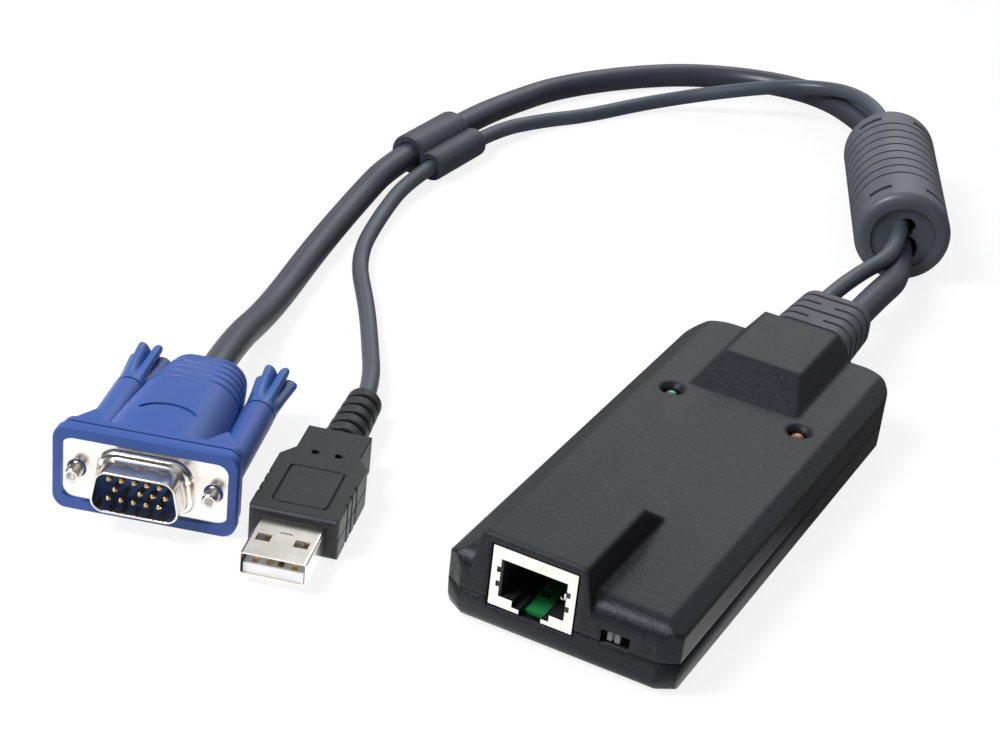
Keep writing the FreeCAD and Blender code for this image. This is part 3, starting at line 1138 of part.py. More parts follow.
def cables():
    """The video cable, the usb cable and the wires that join them to the board."""
    n = {name: value(name) for name in SIZES}
    seat = n["body_length"] / 2 + n["boot_length"] - n["cable_seat"]
    fer = (n["ferrite_x"], n["ferrite_y"], n["ferrite_turn"], n["ferrite_side"])
    axis = n["ferrite_dia"] / 2
    clip = (n["clip_x"], n["clip_y"], n["clip_turn"])
    plays = n["clip_play"] + n["clip_wall"]
    x, z = n["boot_x"] + n["video_exit_x"], n["boot_z"] + n["video_exit_z"]
    rise = axis - n["ferrite_video_drop"]
    hold = n["video_dia"] / 2 + plays
    plug = (n["video_x"], n["video_y"], n["video_turn"], 0.0)
    end = n["hood_length"] - n["video_seat"]
    cord("video_cable", [(x, seat, z), (x, seat + 18.2, z), (*turned(*fer, -10.9), rise),
                         (*turned(*fer, n["ferrite_length"] + 11.5), rise)] + VIDEO_BEND
         + [(*turned(*clip, -n["clip_pitch"] / 2, 18.0), hold),
            (*turned(*clip, -n["clip_pitch"] / 2, -18.0), hold)] + VIDEO_RUN
         + [(*turned(*plug, end + 19.8), n["video_z"]), (*turned(*plug, end), n["video_z"])],
         n["video_dia"])
    bend = n["body_length"] / 2 - n["wall"] - n["flange_thick"] - n["wire_bend"]
    header = n["header_y"] + n["header_deep"] / 2
    level = n["board_bottom"] + n["board_thick"] + n["header_high"] / 2
    side = n["boot_x"] + n["header_x"]
    cord("video_wires", [(x, seat, z), (x, bend, z), (side, header + n["wire_run"], level),
                         (side, header, level)], n["video_dia"] - n["wire_step"] - 0.4)
    x, z = n["boot_x"] - n["usb_exit_x"], n["boot_z"] + n["usb_exit_z"]
    rise = axis + n["ferrite_usb_rise"]
    hold = n["usb_dia"] / 2 + plays
    plug = (n["usb_x"], n["usb_y"], n["usb_turn"], 0.0)
    end = (n["usb_shell_proud"] + n["grip_long"] + n["shoulder_long"] + n["rear_long"]
           + n["usb_boot_long"] - n["usb_seat"])
    cord("usb_cable", [(x, seat, z), (x, seat + 20.6, z), (*turned(*fer, -9.5), rise),
                       (*turned(*fer, n["ferrite_length"] + 9.9), rise)] + USB_BEND
         + [(*turned(*clip, n["clip_pitch"] / 2, 18.9), hold),
            (*turned(*clip, n["clip_pitch"] / 2, -18.9), hold)] + USB_RUN
         + [(*turned(*plug, end + 11.8), n["usb_z"]), (*turned(*plug, end), n["usb_z"])],
         n["usb_dia"])
    side = n["boot_x"] - n["header_x"] - 1.0
    cord("usb_wires", [(x, seat, z), (x, bend, z), (side, header + n["wire_run"], level),
                       (side, header, level)], n["usb_dia"] - n["wire_step"] - 0.2)


# Corners of the free loops, far bend first, then the run back to the plug.
VIDEO_BEND = [(-42.3, 193.8, 7.3), (-58.1, 203.0, 5.0), (-76.5, 202.2, 3.2), (-92.5, 191.2, 3.0),
              (-109.3, 166.0, 3.0), (-114.8, 143.4, 3.0)]
VIDEO_RUN = [(-114.8, 73.6, 3.0), (-108.7, 45.0, 3.0), (-101.0, 14.9, 3.0)]
USB_BEND = [(-37.4, 190.2, 13.1), (-52.0, 194.6, 10.0), (-65.4, 187.0, 8.0), (-87.2, 175.5, 1.8),
            (-96.8, 154.3, 1.8), (-103.7, 144.9, 1.8)]
USB_RUN = [(-107.4, 70.8, 1.8), (-100.7, 49.7, 1.8), (-87.4, 31.7, 1.8), (-79.0, 19.0, 2.0)]

upper_shell()
lower_shell()
housing_screws()
circuit_board()
network_jack()
recovery_switch()
lamps()
board_parts()
strain_relief()
ferrite()
cable_clip()
video_plug_hood()
video_plug_shell()
thumbscrews()
usb_plug()
cables()
doc.recompute()


def save_parts():
    """Check every object and write one STEP file for each node."""
    for item in doc.Objects:
        if any(word in ("Invalid", "Error") for word in item.State):
            raise RuntimeError(f"{item.Name}: {item.State}")
    os.makedirs("parts", exist_ok=True)
    for part in PARTS:
        if part.Shape.isNull() or not part.Shape.isValid():
            raise RuntimeError(f"{part.Label}: shape isn't valid")
        part.Shape.exportStep(f"parts/{part.Label}.step")
    print(f"{len(PARTS)} nodes written")


save_parts()
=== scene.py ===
"""KVM dongle: finishes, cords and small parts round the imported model, with camera and light."""

import logging
import math
from dataclasses import dataclass, field
from enum import Enum
from typing import Callable

import bmesh
import bpy
from mathutils import Matrix, Vector

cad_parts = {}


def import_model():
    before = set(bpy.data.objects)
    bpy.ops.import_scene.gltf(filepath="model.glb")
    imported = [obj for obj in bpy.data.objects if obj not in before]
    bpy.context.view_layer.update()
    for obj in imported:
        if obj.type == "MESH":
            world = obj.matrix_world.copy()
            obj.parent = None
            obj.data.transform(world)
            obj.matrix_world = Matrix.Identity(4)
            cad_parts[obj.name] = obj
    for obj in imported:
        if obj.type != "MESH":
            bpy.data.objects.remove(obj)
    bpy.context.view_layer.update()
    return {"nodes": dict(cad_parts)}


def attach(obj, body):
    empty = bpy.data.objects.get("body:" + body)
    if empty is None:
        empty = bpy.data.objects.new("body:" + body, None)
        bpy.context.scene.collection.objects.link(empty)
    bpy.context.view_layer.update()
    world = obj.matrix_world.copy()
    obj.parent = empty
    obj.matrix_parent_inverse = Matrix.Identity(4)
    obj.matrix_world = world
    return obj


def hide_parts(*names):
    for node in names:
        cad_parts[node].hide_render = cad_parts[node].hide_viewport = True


LOG = logging.getLogger("kvm_dongle")
Colour = tuple[float, float, float]
Point = tuple[float, float, float]
Profile = tuple[tuple[float, float], ...]
MM = 0.001
NEAR = 0.01


class Body(Enum):
    """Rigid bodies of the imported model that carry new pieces."""

    DONGLE = "dongle"
    LEFT_SCREW = "thumbscrew_left"
    RIGHT_SCREW = "thumbscrew_right"


# ------------------------------------------------------------------------------------- finishes
class NodeSheet:
    """Small helper round one material's node tree."""

    def __init__(self, name: str) -> None:
        """Start an empty material with a Principled shader.

        Args:
            name: Name of the material.
        """
        self.material = bpy.data.materials.new(name)
        self.material.use_nodes = True
        self.tree = self.material.node_tree
        self.shader = self.tree.nodes["Principled BSDF"]
        self.place = self.add("ShaderNodeTexCoord")

    def add(self, kind: str, **settings: object) -> bpy.types.Node:
        """Add a node.

        Args:
            kind: Type name of the node.
            settings: Attributes to set on it.

        Returns:
            The new node.
        """
        node = self.tree.nodes.new(kind)
        for key, setting in settings.items():
            setattr(node, key, setting)
        return node

    def link(self, start: bpy.types.NodeSocket, end: bpy.types.NodeSocket) -> None:
        """Join two sockets."""
        self.tree.links.new(start, end)

    def noise(self, scale: float, detail: float = 2.0,
              stretch: Point | None = None) -> bpy.types.Node:
        """Add noise on object coordinates.

        Args:
            scale: Noise scale per metre.
            detail: Octaves of the noise.
            stretch: Scale along X, Y and Z before the noise.

        Returns:
            The noise node.
        """
        node = self.add("ShaderNodeTexNoise")
        node.inputs["Scale"].default_value = scale
        node.inputs["Detail"].default_value = detail
        source = self.place.outputs["Object"]
        if stretch:
            mapping = self.add("ShaderNodeMapping")
            mapping.inputs["Scale"].default_value = stretch
            self.link(source, mapping.inputs["Vector"])
            source = mapping.outputs["Vector"]
        self.link(source, node.inputs["Vector"])
        return node

    def ramp(self, source: bpy.types.NodeSocket, low: float, high: float, first: Colour,
             last: Colour) -> bpy.types.NodeSocket:
        """Map a value to a blend of two colours.

        Args:
            source: Socket that gives the value.
            low: Value that gives the first colour.
            high: Value that gives the last colour.
            first: Colour at the low value.
            last: Colour at the high value.

        Returns:
            The colour socket.
        """
        node = self.add("ShaderNodeValToRGB")
        for element, at, colour in zip(node.color_ramp.elements, (low, high), (first, last)):
            element.position = at
            element.color = (*colour, 1.0)
        self.link(source, node.inputs["Fac"])
        return node.outputs["Color"]

    def span(self, source: bpy.types.NodeSocket, low: float, high: float) -> bpy.types.NodeSocket:
        """Map a value from 0.3..0.7 to low..high.

        Args:
            source: Socket that gives the value.
            low: Result at 0.3.
            high: Result at 0.7.

        Returns:
            The result socket.
        """
        node = self.add("ShaderNodeMapRange")
        for key, number in (("From Min", 0.3), ("From Max", 0.7),
                            ("To Min", low), ("To Max", high)):
            node.inputs[key].default_value = number
        self.link(source, node.inputs["Value"])
        return node.outputs["Result"]

    def bump(self, *layers: tuple[bpy.types.NodeSocket, float, float], edge: float = 0.0) -> None:
        """Stack bump layers on the shader's normal.

        Args:
            layers: Height socket, strength and distance in metres of each layer.
            edge: Radius in metres that softens edges and corners, or 0.
        """
        last = None
        if edge:
            last = self.add("ShaderNodeBevel", samples=6)
            last.inputs["Radius"].default_value = edge
        for height, strength, distance in layers:
            node = self.add("ShaderNodeBump")
            node.inputs["Strength"].default_value = strength
            node.inputs["Distance"].default_value = distance
            self.link(height, node.inputs["Height"])
            if last:
                self.link(last.outputs["Normal"], node.inputs["Normal"])
            last = node
        self.link(last.outputs["Normal"], self.shader.inputs["Normal"])


@dataclass(frozen=True)
class MouldedPlastic:
    """Moulded plastic or rubber with a fine eroded grain, faint mottling, uneven gloss and optional
    painted glints.
    """

    name: str
    colour: Colour
    shade: float = 0.82
    rough_low: float = 0.42
    rough_high: float = 0.58
    grain: float = 2600.0
    grain_strength: float = 0.25
    grain_depth: float = 0.00004
    specular: float = 0.5
    edge: float = 0.0
    gloss_tint: Colour = (0.9, 0.93, 1.0)
    # strength of the painted glints: light specks in the base colour that stand in for sparkle, 0
    # for none
    painted_glint: float = 0.0
    clouds: float = 45.0
    smears: float = 160.0

    def build(self) -> bpy.types.Material:
        """Make the material.

        Returns:
            The new material.
        """
        sheet = NodeSheet(self.name)
        cloud = sheet.noise(self.clouds, 3.0)
        dark = tuple(channel * self.shade for channel in self.colour)
        body = sheet.ramp(cloud.outputs["Fac"], 0.35, 0.65, dark, self.colour)
        fine = sheet.noise(self.grain, 2.0)
        # painted glints: light specks added to the base colour on the peaks of the fine grain
        if self.painted_glint:
            glint_mix = sheet.add("ShaderNodeMix", data_type="RGBA", blend_type="ADD")
            glint_mix.inputs["Factor"].default_value = 1.0
            sheet.link(body, glint_mix.inputs["A"])
            glint_specks = sheet.ramp(fine.outputs["Fac"], 0.5, 0.74, (0.0, 0.0, 0.0), (self.painted_glint,) * 3)
            sheet.link(glint_specks, glint_mix.inputs["B"])
            body = glint_mix.outputs["Result"]
        sheet.link(body, sheet.shader.inputs["Base Color"])
        smear = sheet.noise(self.smears, 4.0, (1.0, 0.35, 1.0))
        sheet.link(sheet.span(smear.outputs["Fac"], self.rough_low, self.rough_high),
                   sheet.shader.inputs["Roughness"])
        wide = sheet.noise(self.grain / 4.0, 1.0)
        sheet.bump((fine.outputs["Fac"], self.grain_strength, self.grain_depth),
                   (wide.outputs["Fac"], self.grain_strength * 0.4, self.grain_depth * 1.5),
                   edge=self.edge)
        sheet.shader.inputs["Specular IOR Level"].default_value = self.specular
        sheet.shader.inputs["Specular Tint"].default_value = (*self.gloss_tint, 1.0)
        return sheet.material


@dataclass(frozen=True)
class PlatedMetal:
    """Plated sheet metal with faint drawing lines and handling marks."""

    name: str
    colour: Colour
    tint: Colour
    rough_low: float = 0.17
    rough_high: float = 0.27
    lines: Point = (1.0, 14.0, 14.0)
    line_strength: float = 0.025
    line_depth: float = 0.00002
    clouds: float = 220.0
    drawing: float = 420.0

    def build(self) -> bpy.types.Material:
        """Make the material.

        Returns:
            The new material.
        """
        sheet = NodeSheet(self.name)
        sheet.shader.inputs["Metallic"].default_value = 1.0
        cloud = sheet.noise(self.clouds, 3.0)
        sheet.link(sheet.ramp(cloud.outputs["Fac"], 0.35, 0.7, self.colour, self.tint),
                   sheet.shader.inputs["Base Color"])
        drawn = sheet.noise(self.drawing, 3.0, self.lines)
        sheet.link(sheet.span(drawn.outputs["Fac"], self.rough_low, self.rough_high),
                   sheet.shader.inputs["Roughness"])
        sheet.bump((drawn.outputs["Fac"], self.line_strength, self.line_depth))
        return sheet.material


@dataclass(frozen=True)
class TintedLens:
    """Tinted diffusing resin of an indicator lamp."""

    name: str
    colour: Colour
    core: Colour
    clouds: float = 900.0
    clear: float = 0.25
    coat: float = 0.6
    rough_low: float = 0.12
    rough_high: float = 0.2
    wave_strength: float = 0.05
    wave_depth: float = 0.00003

    def build(self) -> bpy.types.Material:
        """Make the material.

        Returns:
            The new material.
        """
        sheet = NodeSheet(self.name)
        cloud = sheet.noise(self.clouds, 1.0)
        sheet.link(sheet.ramp(cloud.outputs["Fac"], 0.3, 0.75, self.core, self.colour),
                   sheet.shader.inputs["Base Color"])
        sheet.link(sheet.span(cloud.outputs["Fac"], self.rough_low, self.rough_high),
                   sheet.shader.inputs["Roughness"])
        sheet.shader.inputs["Transmission Weight"].default_value = self.clear
        sheet.shader.inputs["Coat Weight"].default_value = self.coat
        sheet.bump((cloud.outputs["Fac"], self.wave_strength, self.wave_depth))
        return sheet.material


@dataclass(frozen=True)
class SolderMask:
    """Green board in two close greens, with lighter fine traces and plated spots."""

    name: str
    mask: Colour
    copper: Colour
    trace_scale: float = 620.0
    trace_gap: float = 0.012
    trace_shade: float = 1.25
    trace_strength: float = 0.3
    trace_depth: float = 0.00004
    other_shade: float = 0.9
    spot_scale: float = 330.0
    spot_size: float = 0.12
    rough_low: float = 0.25
    rough_high: float = 0.35

    def build(self) -> bpy.types.Material:
        """Make the material.

        Returns:
            The new material.
        """
        sheet = NodeSheet(self.name)
        traces = sheet.add("ShaderNodeTexBrick")
        traces.inputs["Scale"].default_value = self.trace_scale
        traces.inputs["Mortar Size"].default_value = self.trace_gap
        traces.inputs["Color1"].default_value = (*self.mask, 1.0)
        traces.inputs["Color2"].default_value = (*(c * self.other_shade for c in self.mask), 1.0)
        traces.inputs["Mortar"].default_value = (*(c * self.trace_shade for c in self.mask), 1.0)
        sheet.link(sheet.place.outputs["Object"], traces.inputs["Vector"])
        spots = sheet.add("ShaderNodeTexVoronoi")
        spots.inputs["Scale"].default_value = self.spot_scale
        sheet.link(sheet.place.outputs["Object"], spots.inputs["Vector"])
        plated = sheet.add("ShaderNodeMath", operation="LESS_THAN")
        plated.inputs[1].default_value = self.spot_size
        sheet.link(spots.outputs["Distance"], plated.inputs[0])
        mix = sheet.add("ShaderNodeMix", data_type="RGBA")
        sheet.link(plated.outputs[0], mix.inputs["Factor"])
        sheet.link(traces.outputs["Color"], mix.inputs["A"])
        mix.inputs["B"].default_value = (*self.copper, 1.0)
        sheet.link(mix.outputs["Result"], sheet.shader.inputs["Base Color"])
        sheet.link(sheet.span(spots.outputs["Distance"], self.rough_low, self.rough_high),
                   sheet.shader.inputs["Roughness"])
        sheet.bump((traces.outputs["Fac"], self.trace_strength, self.trace_depth))
        return sheet.material


# painted glints: the last setting adds light specks to the housing's base colour
HOUSING = MouldedPlastic("housing_black", (0.0095, 0.0099, 0.0135), shade=0.9, rough_low=0.33,
                         rough_high=0.37, grain=3800.0, grain_strength=1.0, grain_depth=0.00005,
                         specular=0.18, edge=0.0014, painted_glint=0.024)
BOOT = MouldedPlastic("boot_grey", (0.068, 0.071, 0.085), rough_low=0.5, rough_high=0.6,
                      grain_strength=0.3)
FERRITE = MouldedPlastic("ferrite_grey", (0.076, 0.083, 0.108), rough_low=0.4, rough_high=0.5,
                         grain_strength=0.3)
CLIP = MouldedPlastic("clip_grey", (0.034, 0.039, 0.057), rough_low=0.4, rough_high=0.5,
                      grain_strength=0.3)
VIDEO_JACKET = MouldedPlastic("video_jacket", (0.033, 0.036, 0.054), rough_low=0.34,
                              rough_high=0.44, grain_strength=0.15)
USB_JACKET = MouldedPlastic("usb_jacket", (0.05, 0.063, 0.084), rough_low=0.36, rough_high=0.48,
                            grain_strength=0.15)
PLUG_BLUE = MouldedPlastic("plug_blue", (0.02, 0.07, 0.30), shade=0.9, rough_low=0.4,
                           rough_high=0.5, grain_strength=0.5)
KNOB_BLUE = MouldedPlastic("knob_blue", (0.018, 0.08, 0.30), shade=0.88, rough_low=0.3,
                           rough_high=0.4, grain_strength=0.2)
# painted glints: the last setting adds light specks to the grip's base colour
USB_BLACK = MouldedPlastic("usb_grip_black", (0.009, 0.0095, 0.012), rough_low=0.42, rough_high=0.5,
                           grain=3000.0, grain_strength=1.0, grain_depth=0.00006, specular=0.4,
                           edge=0.0005, painted_glint=0.02)
INSERT_BLACK = MouldedPlastic("insert_black", (0.012, 0.012, 0.013), rough_low=0.4, rough_high=0.6)
INSULATOR_BLUE = MouldedPlastic("insulator_blue", (0.03, 0.10, 0.36), rough_low=0.4, rough_high=0.5)
TONGUE_WHITE = MouldedPlastic("tongue_white", (0.92, 0.92, 0.92), shade=0.97, rough_low=0.3,
                              rough_high=0.4, grain_strength=0.08)
SWITCH_GREY = MouldedPlastic("switch_grey", (0.23, 0.23, 0.235), rough_low=0.4, rough_high=0.5)
CHIP_BLACK = MouldedPlastic("chip_black", (0.02, 0.02, 0.022), rough_low=0.5, rough_high=0.65)
HEADER_WHITE = MouldedPlastic("header_white", (0.7, 0.68, 0.62), shade=0.95)
CORE_BLACK = MouldedPlastic("core_black", (0.05, 0.05, 0.052), rough_low=0.6, rough_high=0.8)
WIRE_DARK = MouldedPlastic("wire_dark", (0.06, 0.06, 0.06))
NICKEL = PlatedMetal("nickel", (0.84, 0.81, 0.77), (0.72, 0.69, 0.65))
STEEL = PlatedMetal("steel", (0.52, 0.49, 0.45), (0.36, 0.33, 0.29), 0.2, 0.3)
GOLD = PlatedMetal("gold", (0.66, 0.45, 0.22), (0.5, 0.33, 0.15), 0.2, 0.34)
LAMP_GREEN = TintedLens("lamp_green", (0.02, 0.14, 0.055), (0.01, 0.07, 0.03))
LAMP_AMBER = TintedLens("lamp_amber", (0.30, 0.115, 0.02), (0.16, 0.055, 0.012))
BOARD = SolderMask("board_green", (0.016, 0.19, 0.058), (0.75, 0.55, 0.25))

CAD_FINISHES = {
    HOUSING: ("upper_shell", "lower_shell"),
    STEEL: ("housing_screws", "crystal_can", "lamp_leads"),
    BOARD: ("circuit_board",),
    NICKEL: ("network_jack_shield", "video_plug_shell", "usb_plug_shell", "jackscrew_left",
             "jackscrew_right"),
    INSERT_BLACK: ("network_jack_insert", "recovery_switch_case"),
    GOLD: ("network_jack_contacts", "recovery_switch_leads", "video_plug_pins",
           "usb_plug_contacts"),
    SWITCH_GREY: ("recovery_switch_slider",),
    LAMP_GREEN: ("link_lamp",),
    LAMP_AMBER: ("power_lamp",),
    CHIP_BLACK: ("video_capture_chip", "controller_chip", "memory_chip", "network_transformer"),
    HEADER_WHITE: ("video_header", "usb_header"),
    BOOT: ("strain_relief",),
    FERRITE: ("ferrite_overmould",),
    CORE_BLACK: ("ferrite_core",),
    CLIP: ("cable_clip",),
    PLUG_BLUE: ("video_plug_hood",),
    INSULATOR_BLUE: ("video_plug_insulator",),
    KNOB_BLUE: ("thumbscrew_knob_left", "thumbscrew_knob_right"),
    USB_BLACK: ("usb_plug_grip",),
    TONGUE_WHITE: ("usb_plug_insulator",),
    WIRE_DARK: ("video_wires", "usb_wires"),
}


def dress_cad_nodes(nodes: dict[str, bpy.types.Object]) -> dict[object, bpy.types.Material]:
    """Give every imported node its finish.

    Args:
        nodes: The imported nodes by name.

    Returns:
        The material of each finish.
    """
    built = {}
    for finish, names in CAD_FINISHES.items():
        built[finish] = material = finish.build()
        for name in names:
            slots = nodes[name].material_slots
            for slot in slots:
                slot.material = material
            if not slots:
                nodes[name].data.materials.append(material)
        LOG.info("%s on %s", finish.name, ", ".join(names))
    return built


# --------------------------------------------------------------------------------- mesh shaping
class Shaper:
    """Edit-mode steps on one mesh, shaped in millimetres with +Y to the rear and +Z up."""

    doubles: float = 0.002

    def __init__(self, name: str) -> None:
        """Remember the name that the finished mesh gets.

        Args:
            name: Name of the piece.
        """
        self.name = name
        self.parts: list[bpy.types.Object] = []

    def start(self, turned: bool = True) -> None:
        """Take the active primitive into edit mode, stood up so that it faces along Y.

        Args:
            turned: Whether the primitive is turned from the XY plane into the XZ plane.
        """
        if turned:
            bpy.context.object.rotation_euler = (math.pi / 2, 0.0, 0.0)
            bpy.ops.object.transform_apply(rotation=True)
        bpy.ops.object.mode_set(mode="EDIT")
        bpy.ops.mesh.select_all(action="SELECT")

    def disc(self, y: float, radius: float, sides: int = 32, x: float = 0.0) -> None:
        """Start from a filled circle.

        Args:
            y: Place along Y.
            radius: Radius of the circle.
            sides: Number of corners.
            x: Centre along X.
        """
        bpy.ops.mesh.primitive_circle_add(vertices=sides, radius=radius, fill_type="NGON")
        self.start()
        self.shift((x, y, 0.0))

    def panel(self, y: float, wide: float, tall: float, corner: float, steps: int = 8) -> None:
        """Start from a rectangle with rounded corners.

        Args:
            y: Place along Y.
            wide: Width along X.
            tall: Height along Z.
            corner: Corner radius.
            steps: Segments of each corner.
        """
        bpy.ops.mesh.primitive_plane_add(size=1.0)
        self.start()
        self.scale((wide, 1.0, tall))
        bpy.ops.mesh.bevel(offset=corner, segments=steps, affect="VERTICES")
        bpy.ops.mesh.select_all(action="SELECT")
        self.shift((0.0, y, 0.0))

    def shift(self, way: Point) -> None:
        """Move what is selected."""
        bpy.ops.transform.translate(value=way)

    def scale(self, factor: Point, centre: Point = (0.0, 0.0, 0.0)) -> None:
        """Scale what is selected about a centre."""
        bpy.ops.transform.resize(value=factor, center_override=centre)

    def grow(self, way: float, factor: Point = (1.0, 1.0, 1.0),
             centre: Point = (0.0, 0.0, 0.0)) -> None:
        """Extrude the end face along Y and scale it.

        Args:
            way: Distance along Y.
            factor: Scale of the new end face.
            centre: Centre of that scale.
        """
        bpy.ops.mesh.extrude_region_move(TRANSFORM_OT_translate={"value": (0.0, way, 0.0)})
        self.scale(factor, centre)

    def follow(self, stations: list[Point], x: float = 0.0) -> None:
        """Extrude the end face through stations of place, width and height.

        Args:
            stations: The first one is the face that is there.
            x: Middle of the piece along X.
        """
        for (y0, w0, t0), (y1, w1, t1) in zip(stations, stations[1:]):
            self.grow(y1 - y0, (w1 / w0, 1.0, t1 / t0), (x, y1, 0.0))

    def pick(self, test: Callable[[Vector], bool]) -> None:
        """Select only the corners whose place passes a test.

        Args:
            test: Says whether a place is picked.
        """
        bpy.ops.mesh.select_all(action="DESELECT")
        bpy.ops.mesh.select_mode(type="VERT")
        mesh = bmesh.from_edit_mesh(bpy.context.object.data)
        for corner in mesh.verts:
            corner.select = test(corner.co)
        mesh.select_flush_mode()
        bmesh.update_edit_mesh(bpy.context.object.data)

    def close(self) -> bpy.types.Object:
        """Merge doubles, turn the faces outwards and leave edit mode.

        Returns:
            The shaped part.
        """
        bpy.ops.mesh.select_all(action="SELECT")
        bpy.ops.mesh.remove_doubles(threshold=self.doubles)
        bpy.ops.mesh.normals_make_consistent(inside=False)
        bpy.ops.object.mode_set(mode="OBJECT")
        part = bpy.context.object
        self.parts.append(part)
        part.select_set(False)
        return part

    def carve(self, body: bpy.types.Object, cutter: bpy.types.Object) -> None:
        """Cut one part out of another and delete the cutter.

        Args:
            body: Part that stays.
            cutter: Part that is cut away.
        """
        self.parts.remove(cutter)
        bpy.ops.object.select_all(action="DESELECT")
        bpy.context.view_layer.objects.active = body
        cut = body.modifiers.new("cut", "BOOLEAN")
        cut.operation, cut.solver, cut.object = "DIFFERENCE", "EXACT", cutter
        bpy.ops.object.modifier_apply(modifier=cut.name)
        bpy.data.objects.remove(cutter)

    def finish(self, place: Matrix, finish: bpy.types.Material, body: Body, nodes: tuple[str, ...],
               slot: str, angle: float = 35.0) -> bpy.types.Object:
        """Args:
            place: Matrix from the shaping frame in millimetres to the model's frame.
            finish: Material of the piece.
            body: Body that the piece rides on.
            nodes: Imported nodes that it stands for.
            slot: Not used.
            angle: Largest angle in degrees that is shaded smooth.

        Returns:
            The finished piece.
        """
        bpy.ops.object.select_all(action="DESELECT")
        for part in self.parts:
            part.select_set(True)
        bpy.context.view_layer.objects.active = self.parts[0]
        if len(self.parts) > 1:
            bpy.ops.object.join()
        piece = bpy.context.view_layer.objects.active
        piece.name = piece.data.name = self.name
        piece.data.transform(place)
        bpy.ops.object.shade_smooth_by_angle(angle=math.radians(angle))
        piece.data.materials.clear()
        piece.data.materials.append(finish)
        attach(piece, body.value)
        if nodes:
            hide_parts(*nodes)
        piece.select_set(False)
        LOG.info("%s: %d faces", self.name, len(piece.data.polygons))
        return piece


@dataclass
class LowerCase:
    """Lower shell whose two chamfered front corners run down to a softened sole.

    Sizes are in metres. Each facet is a lean from upright in degrees and the height where it
    starts.
    """

    corner_x: float = 0.01855
    corner_y: float = -0.053
    corner_way: tuple[float, float] = (0.53, -0.848)
    facets: Profile = ((20.0, 0.003), (42.0, 0.0019), (66.0, 0.001))
    merge: float = 1e-6
    smooth: float = 25.0

    def build(self, node: bpy.types.Object, finish: bpy.types.Material) -> None:
        """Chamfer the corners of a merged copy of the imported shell.

        Args:
            node: Packed lower shell.
            finish: Housing finish.
        """
        bpy.ops.object.select_all(action="DESELECT")
        node.select_set(True)
        bpy.context.view_layer.objects.active = node
        bpy.ops.object.duplicate()
        case = bpy.context.object
        case.name = case.data.name = "lower_case"
        bpy.ops.object.mode_set(mode="EDIT")
        bpy.ops.mesh.select_all(action="SELECT")
        bpy.ops.mesh.remove_doubles(threshold=self.merge)
        for side in (-1, 1):
            for lean, rise in self.facets:
                tilt = math.radians(lean)
                way = (side * self.corner_way[0] * math.cos(tilt),
                       self.corner_way[1] * math.cos(tilt), -math.sin(tilt))
                bpy.ops.mesh.select_all(action="SELECT")
                bpy.ops.mesh.bisect(plane_co=(side * self.corner_x, self.corner_y, rise),
                                    plane_no=way, use_fill=True, clear_outer=True)
        bpy.ops.object.mode_set(mode="OBJECT")
        bpy.ops.object.shade_smooth_by_angle(angle=math.radians(self.smooth))
        case.data.materials.clear()
        case.data.materials.append(finish)
        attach(case, Body.DONGLE.value)
        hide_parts("lower_shell")
        LOG.info("lower_case shaped from the packed shell")


@dataclass
class SocketDetail:
    """Solder ring on the board behind the socket's mouth and the spring tab of its shield.

    Sizes are in millimetres in the model's frame. Each fold of the tab is the share of the width
    that is left, the way across and the way up.
    """

    ring_at: Point = (-5.9, -45.0, 5.44)
    ring_radius: float = 0.66
    ring_band: float = 0.5
    ring_high: float = 0.08
    ring_steps: int = 28
    tab_at: Point = (0.62, -51.7, 12.6)
    tab_deep: float = 1.5
    tab_thick: float = 0.28
    tab_folds: tuple[Point, ...] = ((1.0, 0.0, -1.3), (0.7, -0.55, -0.3), (0.8, -0.275, 0.35))

    def build_ring(self, finish: bpy.types.Material) -> None:
        """Spin the solder ring.

        Args:
            finish: Gold finish.
        """
        shaper = Shaper("solder_ring")
        bpy.ops.mesh.primitive_plane_add(size=1.0)
        shaper.start()
        shaper.scale((self.ring_band, 1.0, self.ring_high))
        shaper.shift((self.ring_radius, 0.0, 0.0))
        bpy.ops.mesh.delete(type="ONLY_FACE")
        bpy.ops.mesh.select_all(action="SELECT")
        bpy.ops.mesh.spin(steps=self.ring_steps, angle=math.tau, center=(0.0, 0.0, 0.0),
                          axis=(0.0, 0.0, 1.0))
        shaper.close()
        place = Matrix.Scale(MM, 4) @ Matrix.Translation(self.ring_at)
        shaper.finish(place, finish, Body.DONGLE, (), "gold")

    def build_tab(self, finish: bpy.types.Material) -> None:
        """Shape the spring tab, narrower and turned inwards at its tip.

        Args:
            finish: Nickel finish.
        """
        shaper = Shaper("shield_tab")
        bpy.ops.mesh.primitive_plane_add(size=1.0)
        shaper.start(turned=False)
        shaper.scale((self.tab_thick, self.tab_deep, 1.0))
        for narrow, across, up in self.tab_folds:
            bpy.ops.mesh.extrude_region_move(TRANSFORM_OT_translate={"value": (across, 0.0, up)})
            shaper.scale((1.0, narrow, 1.0))
        shaper.close()
        place = Matrix.Scale(MM, 4) @ Matrix.Translation(self.tab_at)
        shaper.finish(place, finish, Body.DONGLE, (), "nickel", 60.0)


